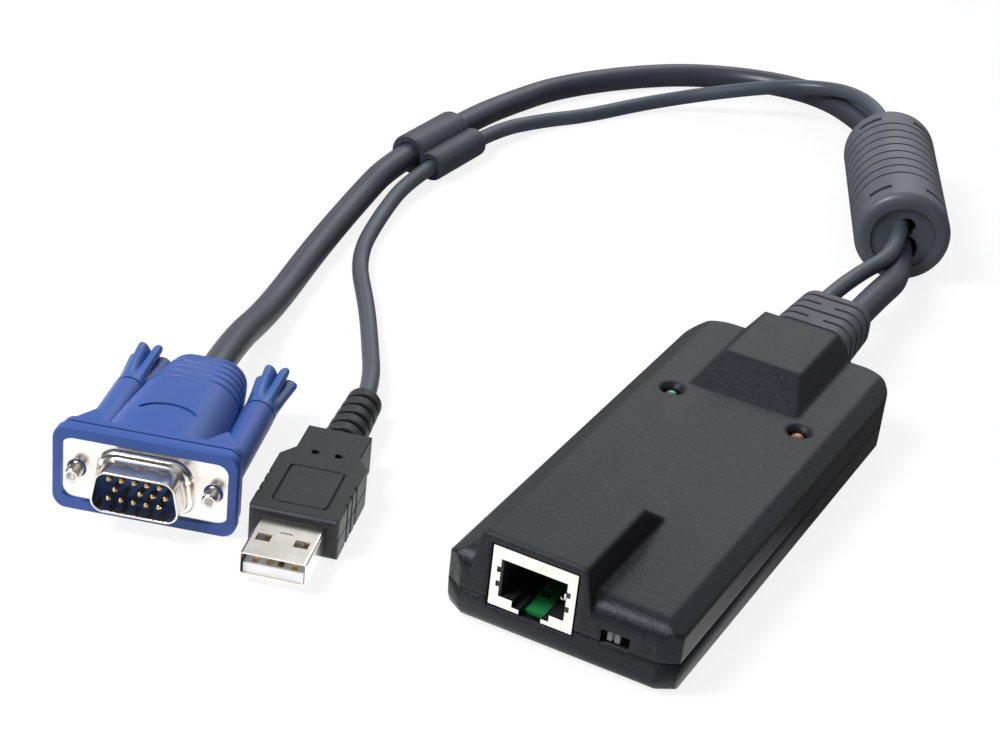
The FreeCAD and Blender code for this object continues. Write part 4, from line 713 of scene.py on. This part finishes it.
@dataclass
class VideoPlug:
    """Moulded video plug: hood, fluted knobs, threaded tips and the flared foot of its shell.

    Sizes are in millimetres in the plug's own frame: nose towards -Y, metal flange at Y = 0. A
    profile lists places along Y with a size there: what the outline loses or gains in all, a depth,
    or a share of the radius.
    """

    x: float = -78.2
    y: float = -60.1
    z: float = 8.4
    turn: float = 17.5
    # rim with the stepped plate behind it
    rim_wide: float = 33.8
    rim_tall: float = 16.8
    rim_front: float = -0.6
    rim_back: float = 1.8
    plate_back: float = 4.6
    plate_shrink: float = 1.8
    plate_corner: float = 2.4
    rim_profile: Profile = ((4.1, 0.8), (2.7, 0.7), (2.6, 1.5), (2.0, 1.5), (1.9, 0.3), (1.5, 0.0),
                            (-0.25, 0.0), (-0.52, 0.25), (-0.6, 0.7))
    opening_wide: float = 30.4
    opening_tall: float = 12.7
    flange_seat: float = 0.1
    # body that narrows to the grooved tail
    body_wide: float = 22.2
    body_tall: float = 15.4
    body_round: float = 0.47
    body_round_steps: int = 14
    body_steps: int = 8
    body_bulge: float = 0.35
    body_taper: float = 1.3
    waist: float = 25.5
    waist_wide: float = 19.2
    waist_tall: float = 13.4
    end: float = 39.0
    end_wide: float = 14.8
    end_tall: float = 9.4
    end_profile: Profile = ((1.0, 0.0), (0.35, 0.35), (0.0, 1.1))
    tail_taper: float = 1.45
    rings: int = 5
    ring_first: float = 0.6
    ring_pitch: float = 2.5
    ring_deep: float = 0.55
    ring_profile: Profile = ((0.0, 0.0), (0.15, 0.8), (0.35, 1.0), (0.55, 0.8), (0.85, 0.0))
    # sunk crescent on top
    crescent_top: float = 14.6
    crescent_radius: float = 6.8
    crescent_sweep: float = 101.0
    crescent_line: float = 0.45
    crescent_stretch: float = 1.9
    crescent_sunk: float = 0.1
    crescent_sides: int = 10
    crescent_steps: int = 16
    # screw barrels and the gussets beside them
    spread: float = 24.99
    barrel_dia: float = 6.3
    barrel_end: float = 28.5
    barrel_profile: Profile = ((0.4, 0.99), (0.1, 0.96), (0.0, 0.88))
    gusset_near: float = 7.6
    gusset_far: float = 16.0
    gusset_tip: tuple[float, float] = (12.0, 10.2)
    gusset_sunk: float = 0.6
    gusset_tall: float = 14.1
    gusset_edge: float = 0.45
    # knobs, whose ridges part towards the tip
    knob_start: float = 28.8
    knob_radius: float = 3.05
    knob_profile: tuple[Point, ...] = (
        (0.9, 3.08, 3.05), (1.2, 3.12, 2.85), (1.8, 3.3, 2.35), (2.6, 3.5, 2.0), (3.2, 3.85, 1.85),
        (2.4, 4.1, 1.8), (0.5, 4.05, 1.7), (0.35, 3.8, 1.5), (0.2, 3.3, 1.2))
    petals: int = 6
    phases: int = 10
    ridge_power: float = 0.55
    # threaded tips
    tip_dia: float = 2.84
    tip_front: float = -3.0
    tip_nose: Profile = ((0.0, 0.62), (0.35, 0.86))
    tip_root: Profile = ((0.0, 0.99), (0.6, 0.99))
    threads: int = 5
    thread_first: float = 0.55
    thread_pitch: float = 0.46
    thread_profile: Profile = ((0.0, 0.99), (0.1, 1.0), (0.24, 0.86), (0.32, 0.86))
    # flared foot of the metal shell
    shell_wide: float = 16.9
    shell_tall: float = 8.3
    shell_slant: float = 1.46
    foot_corner: float = 3.3
    foot_profile: Profile = ((0.0, 2.6), (-0.25, 2.35), (-0.75, 2.0), (-1.05, 1.6), (-1.15, 1.0),
                             (-1.3, 0.55), (-1.7, 0.2), (-2.3, 0.06), (-2.3, -0.3), (0.0, -0.3))

    def place(self, side: float = 0.0) -> Matrix:
        """Matrix from the plug's frame to the model's frame.

        Args:
            side: Distance along the plug's own X at which the frame starts.

        Returns:
            The matrix.
        """
        return (Matrix.Scale(MM, 4) @ Matrix.Translation((self.x, self.y, self.z))
                @ Matrix.Rotation(math.radians(self.turn), 4, "Z")
                @ Matrix.Translation((side, 0.0, 0.0)))

    def build_rim(self, shaper: Shaper) -> None:
        """Shape the rim and the plate behind it, with the seat of the metal flange.

        Args:
            shaper: Shaper of the hood.
        """
        wide, tall = self.rim_wide, self.rim_tall
        shaper.panel(self.plate_back, wide - self.plate_shrink, tall - self.plate_shrink,
                     self.plate_corner)
        outline = ((self.plate_back, self.plate_shrink), *self.rim_profile)
        shaper.follow([(y, wide - shrink, tall - shrink) for y, shrink in outline]
                      + [(y, self.opening_wide, self.opening_tall)
                         for y in (self.rim_front, self.flange_seat)])
        shaper.close()

    def tail(self, y: float, sunk: float) -> Point:
        """Station of the grooved tail.

        Args:
            y: Place along Y.
            sunk: Depth below the tail's surface.

        Returns:
            Place, width and height.
        """
        share = ((y - self.waist) / (self.end - self.waist)) ** self.tail_taper
        return (y, self.waist_wide + (self.end_wide - self.waist_wide) * share - 2 * sunk,
                self.waist_tall + (self.end_tall - self.waist_tall) * share - 2 * sunk)

    def build_body(self, shaper: Shaper) -> None:
        """Shape the crowned body with its ring grooves and the crescent.

        Args:
            shaper: Shaper of the hood.
        """
        shaper.panel(self.rim_back, self.body_wide, self.body_tall,
                     self.body_tall * self.body_round, self.body_round_steps)
        stations = [(self.rim_back, self.body_wide, self.body_tall)]
        for step in range(1, self.body_steps + 1):
            share = step / self.body_steps
            bulge = self.body_bulge * math.sin(math.pi * share)
            taper = share ** self.body_taper
            stations.append((self.rim_back + (self.waist - self.rim_back) * share,
                             self.body_wide + (self.waist_wide - self.body_wide) * taper + bulge,
                             self.body_tall + (self.waist_tall - self.body_tall) * taper + bulge))
        for ring in range(self.rings):
            start = self.waist + self.ring_first + ring * self.ring_pitch
            stations += [self.tail(start + way, self.ring_deep * deep)
                         for way, deep in self.ring_profile]
        stations += [self.tail(self.end - back, sunk) for back, sunk in self.end_profile]
        shaper.follow(stations)
        shaper.carve(shaper.close(), self.crescent(shaper))

    def crescent(self, shaper: Shaper) -> bpy.types.Object:
        """Spin the bar that cuts the crescent.

        Args:
            shaper: Shaper of the hood.

        Returns:
            The cutting bar.
        """
        bpy.ops.mesh.primitive_circle_add(vertices=self.crescent_sides, radius=self.crescent_line,
                                          fill_type="NGON")
        shaper.start()
        shaper.scale((1.0, 1.0, self.crescent_stretch))
        shaper.shift((self.crescent_radius, 0.0, self.body_tall / 2 - self.crescent_sunk))
        bpy.ops.mesh.spin(steps=self.crescent_steps, angle=math.radians(self.crescent_sweep),
                          center=(0.0, 0.0, 0.0), axis=(0.0, 0.0, 1.0))
        bar = shaper.close()
        corners = bar.data.vertices
        middle = sum((corner.co for corner in corners), Vector()) / len(corners)
        turn = math.pi / 2 - math.atan2(middle.y, middle.x)
        bar.data.transform(Matrix.Translation((0.0, self.crescent_top - self.crescent_radius, 0.0))
                           @ Matrix.Rotation(turn, 4, "Z"))
        return bar

    def build_barrel(self, shaper: Shaper, side: int) -> None:
        """Shape one screw barrel.

        Args:
            shaper: Shaper of the hood.
            side: -1 for the left and 1 for the right.
        """
        x = side * self.spread / 2
        shaper.disc(self.rim_back, self.barrel_dia / 2, x=x)
        shaper.follow([(self.rim_back, 1.0, 1.0)] + [(self.barrel_end - back, share, share)
                                                     for back, share in self.barrel_profile], x)
        shaper.close()

    def build_gusset(self, shaper: Shaper, side: int) -> None:
        """Shape one flat-topped gusset between the plate, the body and the barrel.

        Args:
            shaper: Shaper of the hood.
            side: -1 for the left and 1 for the right.
        """
        bpy.ops.mesh.primitive_cylinder_add(vertices=3, radius=1.0, depth=1.0)
        shaper.start(turned=False)
        sunk = self.plate_back - self.gusset_sunk
        goals = ((self.gusset_near, sunk), (self.gusset_far, sunk), self.gusset_tip)
        for corner, (across, along) in enumerate(goals):
            turn = math.tau * corner / len(goals)
            start = Vector((math.sin(turn), math.cos(turn), 0.0))
            shaper.pick(lambda c, s=start: (Vector((c.x, c.y, 0.0)) - s).length < NEAR)
            shaper.shift((side * across - start.x, along - start.y, 0.0))
        bpy.ops.mesh.select_all(action="SELECT")
        shaper.scale((1.0, 1.0, self.gusset_tall))
        bpy.ops.mesh.bevel(offset=self.gusset_edge, segments=2, affect="EDGES")
        shaper.close()

    def build_hood(self, finish: bpy.types.Material) -> None:
        """Build the blue hood as one piece.

        Args:
            finish: Material of the hood.
        """
        shaper = Shaper("video_hood")
        self.build_rim(shaper)
        self.build_body(shaper)
        for side in (-1, 1):
            self.build_barrel(shaper, side)
            self.build_gusset(shaper, side)
        shaper.finish(self.place(), finish, Body.DONGLE, ("video_plug_hood",), "plug_blue", 32.0)

    def copy_right(self, left: bpy.types.Object, name: str, slot: str, *nodes: str) -> None:
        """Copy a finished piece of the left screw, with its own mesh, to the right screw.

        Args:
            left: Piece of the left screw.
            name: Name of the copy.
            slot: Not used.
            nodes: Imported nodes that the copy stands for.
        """
        right = left.copy()
        right.data = left.data.copy()
        right.name = right.data.name = name
        bpy.context.scene.collection.objects.link(right)
        right.parent = None
        right.data.transform(self.place(self.spread / 2) @ self.place(-self.spread / 2).inverted())
        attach(right, Body.RIGHT_SCREW.value)
        if nodes:
            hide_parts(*nodes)

    def phase(self, corner: Vector) -> int:
        """Place of a corner within its petal, counted round the knob."""
        angle = math.atan2(corner.z, corner.x) / math.tau * self.petals * self.phases
        return round(angle) % self.phases

    def build_knobs(self, finish: bpy.types.Material) -> None:
        """Shape one fluted knob and copy it to the other screw.

        Args:
            finish: Material of the knobs.
        """
        shaper = Shaper("knob_left")
        y, last = self.knob_start, (self.knob_radius, self.knob_radius)
        shaper.disc(y, self.knob_radius, self.petals * self.phases)
        for way, ridge, valley in self.knob_profile:
            y += way
            shaper.grow(way)
            for phase in range(self.phases):
                wave = 0.5 + 0.5 * math.cos(math.tau * phase / self.phases)
                share = wave ** self.ridge_power
                old = last[1] + (last[0] - last[1]) * share
                new = valley + (ridge - valley) * share
                shaper.pick(lambda c, p=phase, at=y: abs(c.y - at) < NEAR and self.phase(c) == p)
                shaper.scale((new / old, 1.0, new / old), (0.0, y, 0.0))
            shaper.pick(lambda c, at=y: abs(c.y - at) < NEAR)
            last = (ridge, valley)
        shaper.close()
        left = shaper.finish(self.place(-self.spread / 2), finish, Body.LEFT_SCREW,
                             ("thumbscrew_knob_left",), "knob_blue", 40.0)
        self.copy_right(left, "knob_right", "knob_blue", "thumbscrew_knob_right")

    def build_tips(self, finish: bpy.types.Material) -> None:
        """Shape one threaded screw tip and copy it to the other screw.

        Args:
            finish: Material of the screws.
        """
        shaper = Shaper("screw_tip_left")
        shaper.disc(self.tip_front, self.tip_dia / 2 * self.tip_nose[0][1])
        outline = [(self.tip_front + way, share) for way, share in self.tip_nose]
        for thread in range(self.threads):
            start = self.tip_front + self.thread_first + thread * self.thread_pitch
            outline += [(start + way, share) for way, share in self.thread_profile]
        shaper.follow([(y, share, share) for y, share in (*outline, *self.tip_root)])
        shaper.close()
        left = shaper.finish(self.place(-self.spread / 2), finish, Body.LEFT_SCREW, (), "steel",
                             20.0)
        self.copy_right(left, "screw_tip_right", "steel")

    def build_foot(self, finish: bpy.types.Material) -> None:
        """Shape the flared foot of the metal shell.

        Args:
            finish: Material of the metal.
        """
        shaper = Shaper("shell_foot")
        reach = self.foot_profile[0][1]
        wide, tall = self.shell_wide + reach, self.shell_tall + reach
        bpy.ops.mesh.primitive_plane_add(size=1.0)
        shaper.start()
        shaper.scale((wide, 1.0, tall))
        shaper.pick(lambda c: c.z > 0)
        shaper.scale(((wide - 2 * self.shell_slant) / wide, 1.0, 1.0))
        bpy.ops.mesh.select_all(action="SELECT")
        bpy.ops.mesh.bevel(offset=self.foot_corner, segments=8, affect="VERTICES")
        bpy.ops.mesh.select_all(action="SELECT")
        shaper.follow([(y, self.shell_wide + gain, self.shell_tall + gain)
                       for y, gain in self.foot_profile])
        shaper.pick(lambda c: abs(c.y) < NEAR)
        bpy.ops.mesh.delete(type="ONLY_FACE")
        shaper.pick(lambda c: abs(c.y) < NEAR)
        bpy.ops.mesh.bridge_edge_loops()
        shaper.close()
        shaper.finish(self.place(), finish, Body.DONGLE, (), "nickel", 50.0)


# ---------------------------------------------------------------------------------------- cords
@dataclass
class Cable:
    """A free cable: one smooth NURBS line with a round section."""

    name: str
    replaces: str
    slot: str
    finish: MouldedPlastic
    diameter: float
    length: float
    points: list[Point]
    pieces: list[str] = field(default_factory=list)
    steps: int = 16
    round_steps: int = 8

    def build(self) -> bpy.types.Object:
        """Returns:
            The curve object.
        """
        curve = bpy.data.curves.new(self.name, "CURVE")
        curve.dimensions = "3D"
        spline = curve.splines.new("NURBS")
        spline.points.add(len(self.points) - 1)
        for knot, point in zip(spline.points, self.points):
            knot.co = (*point, 1.0)
        spline.order_u = 3
        spline.use_endpoint_u = True
        spline.resolution_u = self.steps
        curve.bevel_depth = self.diameter / 2
        curve.bevel_resolution = self.round_steps
        curve.use_fill_caps = True
        cable = bpy.data.objects.new(self.name, curve)
        bpy.context.scene.collection.objects.link(cable)
        cable.data.materials.append(self.finish.build())
        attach(cable, Body.DONGLE.value)
        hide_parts(self.replaces)
        LOG.info("%s laid through %d points", self.name, len(self.points))
        return cable


VIDEO_CABLE = Cable(
    "video_cord", "video_cable", "video_cable", VIDEO_JACKET, 0.006, 0.4216,
    [(0.0036, 0.0695, 0.0103), (0.0036, 0.0877, 0.0103), (0.0037, 0.1107, 0.00805),
     (-0.0252, 0.1771, 0.00805), (-0.0423, 0.1938, 0.0073), (-0.0581, 0.2030, 0.0050),
     (-0.0765, 0.2022, 0.0032), (-0.0925, 0.1912, 0.0030), (-0.1093, 0.1660, 0.0030),
     (-0.1148, 0.1434, 0.0030), (-0.1149, 0.1264, 0.00475), (-0.1167, 0.0905, 0.00475),
     (-0.1148, 0.0736, 0.0030), (-0.1087, 0.0450, 0.0030), (-0.1010, 0.0149, 0.0030),
     (-0.0941, -0.0097, 0.0084), (-0.0881, -0.0286, 0.0084)],
    ["strain_relief", "ferrite_overmould", "ferrite_core", "cable_clip", "video_plug_hood",
     "video_plug_shell", "video_plug_insulator", "video_plug_pins", "jackscrew_left",
     "thumbscrew_knob_left", "jackscrew_right", "thumbscrew_knob_right"])
USB_CABLE = Cable(
    "usb_cord", "usb_cable", "usb_cable", USB_JACKET, 0.0036, 0.3906,
    [(-0.0043, 0.0695, 0.0109), (-0.0043, 0.0901, 0.0109), (0.0032, 0.1119, 0.0134),
     (-0.0245, 0.1756, 0.0134), (-0.0374, 0.1902, 0.0131), (-0.0520, 0.1946, 0.0100),
     (-0.0654, 0.1870, 0.0080), (-0.0872, 0.1755, 0.0018), (-0.0968, 0.1543, 0.0018),
     (-0.1037, 0.1449, 0.0018), (-0.1087, 0.1270, 0.00355), (-0.1105, 0.0893, 0.00355),
     (-0.1074, 0.0708, 0.0018), (-0.1007, 0.0497, 0.0018), (-0.0874, 0.0317, 0.0018),
     (-0.0790, 0.0190, 0.0020), (-0.0666, -0.0010, 0.0040), (-0.0634, -0.0124, 0.0040)],
    ["usb_plug_grip", "usb_plug_shell", "usb_plug_insulator", "usb_plug_contacts"])


# ---------------------------------------------------------------------------------------- studio
@dataclass(frozen=True)
class Lamp:
    """One soft square lamp."""

    name: str
    at: Point
    look: Point
    side: float
    watts: float

    def build(self) -> None:
        """Place the lamp, facing the point that it looks at."""
        bpy.ops.object.light_add(type="AREA", location=self.at)
        lamp = bpy.context.object
        lamp.name = self.name
        lamp.data.size = self.side
        lamp.data.energy = self.watts
        lamp.rotation_mode = "QUATERNION"
        lamp.rotation_quaternion = (Vector(self.at) - Vector(self.look)).to_track_quat("Z", "Y")


@dataclass
class Studio:
    """Camera, lamps, world and pale floor. Angles are in degrees and lengths in metres."""

    azimuth: float = 24.73
    elevation: float = 29.35
    roll: float = 6.6
    distance: float = 0.46885
    target: Point = (-0.04966, 0.02469, 0.0)
    lens: float = 83.64
    sensor: float = 36.0
    shift: tuple[float, float] = (-0.00828, 0.00677)
    clip: tuple[float, float] = (0.01, 20.0)
    lamps: tuple[Lamp, ...] = (
        Lamp("key", (-0.4, -0.42, 0.75), (-0.04, 0.03, 0.0), 0.3, 9.5),
        Lamp("fill", (0.35, -0.75, 0.5), (-0.03, 0.0, 0.0), 0.5, 0.6),
        Lamp("rear", (-0.2, 0.8, 0.6), (-0.04, 0.05, 0.0), 0.5, 1.4))
    sky_way: Point = (-0.4, 0.55, 0.73)
    sky_span: tuple[float, float] = (-0.1, 0.85)
    sky_light: tuple[float, float] = (0.05, 0.7)
    floor_side: float = 3.0
    floor_white: float = 0.85
    floor_colour: Colour = (0.86, 0.86, 0.87)
    floor_rough: float = 0.9
    mirror_way: Point = (0.35, 0.94, 0.0)
    mirror_span: tuple[float, float] = (-0.06, 0.02)
    mirror_light: tuple[float, float] = (1.4, 0.12)

    def camera(self) -> None:
        """Place the camera."""
        a, e, r = (math.radians(x) for x in (self.azimuth, self.elevation, self.roll))
        back = Vector((math.sin(a) * math.cos(e), -math.cos(a) * math.cos(e), math.sin(e)))
        right = Vector((math.cos(a), math.sin(a), 0.0))
        up = back.cross(right)
        side = right * math.cos(r) + up * math.sin(r)
        top = up * math.cos(r) - right * math.sin(r)
        bpy.ops.object.camera_add()
        camera = bpy.context.object
        camera.name = "camera"
        camera.matrix_world = (Matrix.Translation(Vector(self.target) + back * self.distance)
                               @ Matrix((side, top, back)).transposed().to_4x4())
        camera.data.lens = self.lens
        camera.data.sensor_width = self.sensor
        camera.data.shift_x, camera.data.shift_y = self.shift
        camera.data.clip_start, camera.data.clip_end = self.clip
        bpy.context.scene.camera = camera

    @staticmethod
    def gradient(tree: bpy.types.NodeTree, place: str, way: Vector, span: tuple[float, float],
                 light: tuple[float, float], shape: str) -> bpy.types.NodeSocket:
        """Add light that changes along one direction.

        Args:
            tree: Node tree of the world or the floor.
            place: Name of the coordinate that is read.
            way: Direction of the change.
            span: Where the change starts and ends.
            light: Strength at the start and at the end.
            shape: Interpolation between them.

        Returns:
            The strength socket.
        """
        source = tree.nodes.new("ShaderNodeTexCoord")
        along = tree.nodes.new("ShaderNodeVectorMath")
        along.operation = "DOT_PRODUCT"
        along.inputs[1].default_value = way
        tree.links.new(source.outputs[place], along.inputs[0])
        spread = tree.nodes.new("ShaderNodeMapRange")
        spread.interpolation_type = shape
        for key, number in zip(("From Min", "From Max", "To Min", "To Max"), (*span, *light)):
            spread.inputs[key].default_value = number
        tree.links.new(along.outputs["Value"], spread.inputs["Value"])
        return spread.outputs["Result"]

    def world(self) -> None:
        """Surroundings that look white, dim at the sides and bright above the rear."""
        world = bpy.data.worlds.new("studio")
        bpy.context.scene.world = world
        world.use_nodes = True
        tree = world.node_tree
        background = tree.nodes["Background"]
        background.inputs["Color"].default_value = (1.0, 1.0, 1.0, 1.0)
        sky = self.gradient(tree, "Generated", Vector(self.sky_way).normalized(), self.sky_span,
                            self.sky_light, "SMOOTHSTEP")
        path = tree.nodes.new("ShaderNodeLightPath")
        mix = tree.nodes.new("ShaderNodeMix")
        mix.inputs["B"].default_value = 1.0
        tree.links.new(path.outputs["Is Camera Ray"], mix.inputs["Factor"])
        tree.links.new(sky, mix.inputs["A"])
        tree.links.new(mix.outputs["Result"], background.inputs["Strength"])

    def floor(self) -> None:
        """Pale floor that shows white, keeps the shadow and mirrors dim to the right and rear."""
        bpy.ops.mesh.primitive_plane_add(size=self.floor_side, location=(0.0, 0.0, 0.0))
        floor = bpy.context.object
        floor.name = "floor"
        material = bpy.data.materials.new("floor")
        material.use_nodes = True
        tree = material.node_tree
        shader = tree.nodes["Principled BSDF"]
        shader.inputs["Base Color"].default_value = (*self.floor_colour, 1.0)
        shader.inputs["Roughness"].default_value = self.floor_rough
        glow = tree.nodes.new("ShaderNodeEmission")
        path = tree.nodes.new("ShaderNodeLightPath")
        share = tree.nodes.new("ShaderNodeMath")
        share.operation = "MULTIPLY"
        share.inputs[1].default_value = self.floor_white
        white = tree.nodes.new("ShaderNodeMixShader")
        tree.links.new(path.outputs["Is Camera Ray"], share.inputs[0])
        tree.links.new(share.outputs[0], white.inputs["Fac"])
        tree.links.new(shader.outputs[0], white.inputs[1])
        tree.links.new(glow.outputs[0], white.inputs[2])
        mirror = tree.nodes.new("ShaderNodeEmission")
        tree.links.new(self.gradient(tree, "Object", Vector(self.mirror_way), self.mirror_span,
                                     self.mirror_light, "LINEAR"), mirror.inputs["Strength"])
        blend = tree.nodes.new("ShaderNodeMixShader")
        tree.links.new(path.outputs["Is Glossy Ray"], blend.inputs["Fac"])
        tree.links.new(white.outputs[0], blend.inputs[1])
        tree.links.new(mirror.outputs[0], blend.inputs[2])
        tree.links.new(blend.outputs[0], tree.nodes["Material Output"].inputs["Surface"])
        floor.data.materials.append(material)

    def build(self) -> None:
        """Set up the whole studio."""
        self.camera()
        self.world()
        self.floor()
        for lamp in self.lamps:
            lamp.build()
        bpy.context.scene.view_settings.view_transform = "Standard"


def main() -> None:
    """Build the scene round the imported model."""
    logging.basicConfig(level=logging.INFO, format="%(name)s: %(message)s")
    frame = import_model()
    bpy.ops.object.select_all(action="DESELECT")
    finishes = dress_cad_nodes(frame["nodes"])
    LowerCase().build(frame["nodes"]["lower_shell"], finishes[HOUSING])
    socket = SocketDetail()
    socket.build_ring(finishes[GOLD])
    socket.build_tab(finishes[NICKEL])
    plug = VideoPlug()
    plug.build_hood(finishes[PLUG_BLUE])
    plug.build_knobs(finishes[KNOB_BLUE])
    plug.build_tips(finishes[STEEL])
    plug.build_foot(finishes[NICKEL])
    for cable in (VIDEO_CABLE, USB_CABLE):
        cable.build()
    Studio().build()


if __name__ == "__main__":
    main()
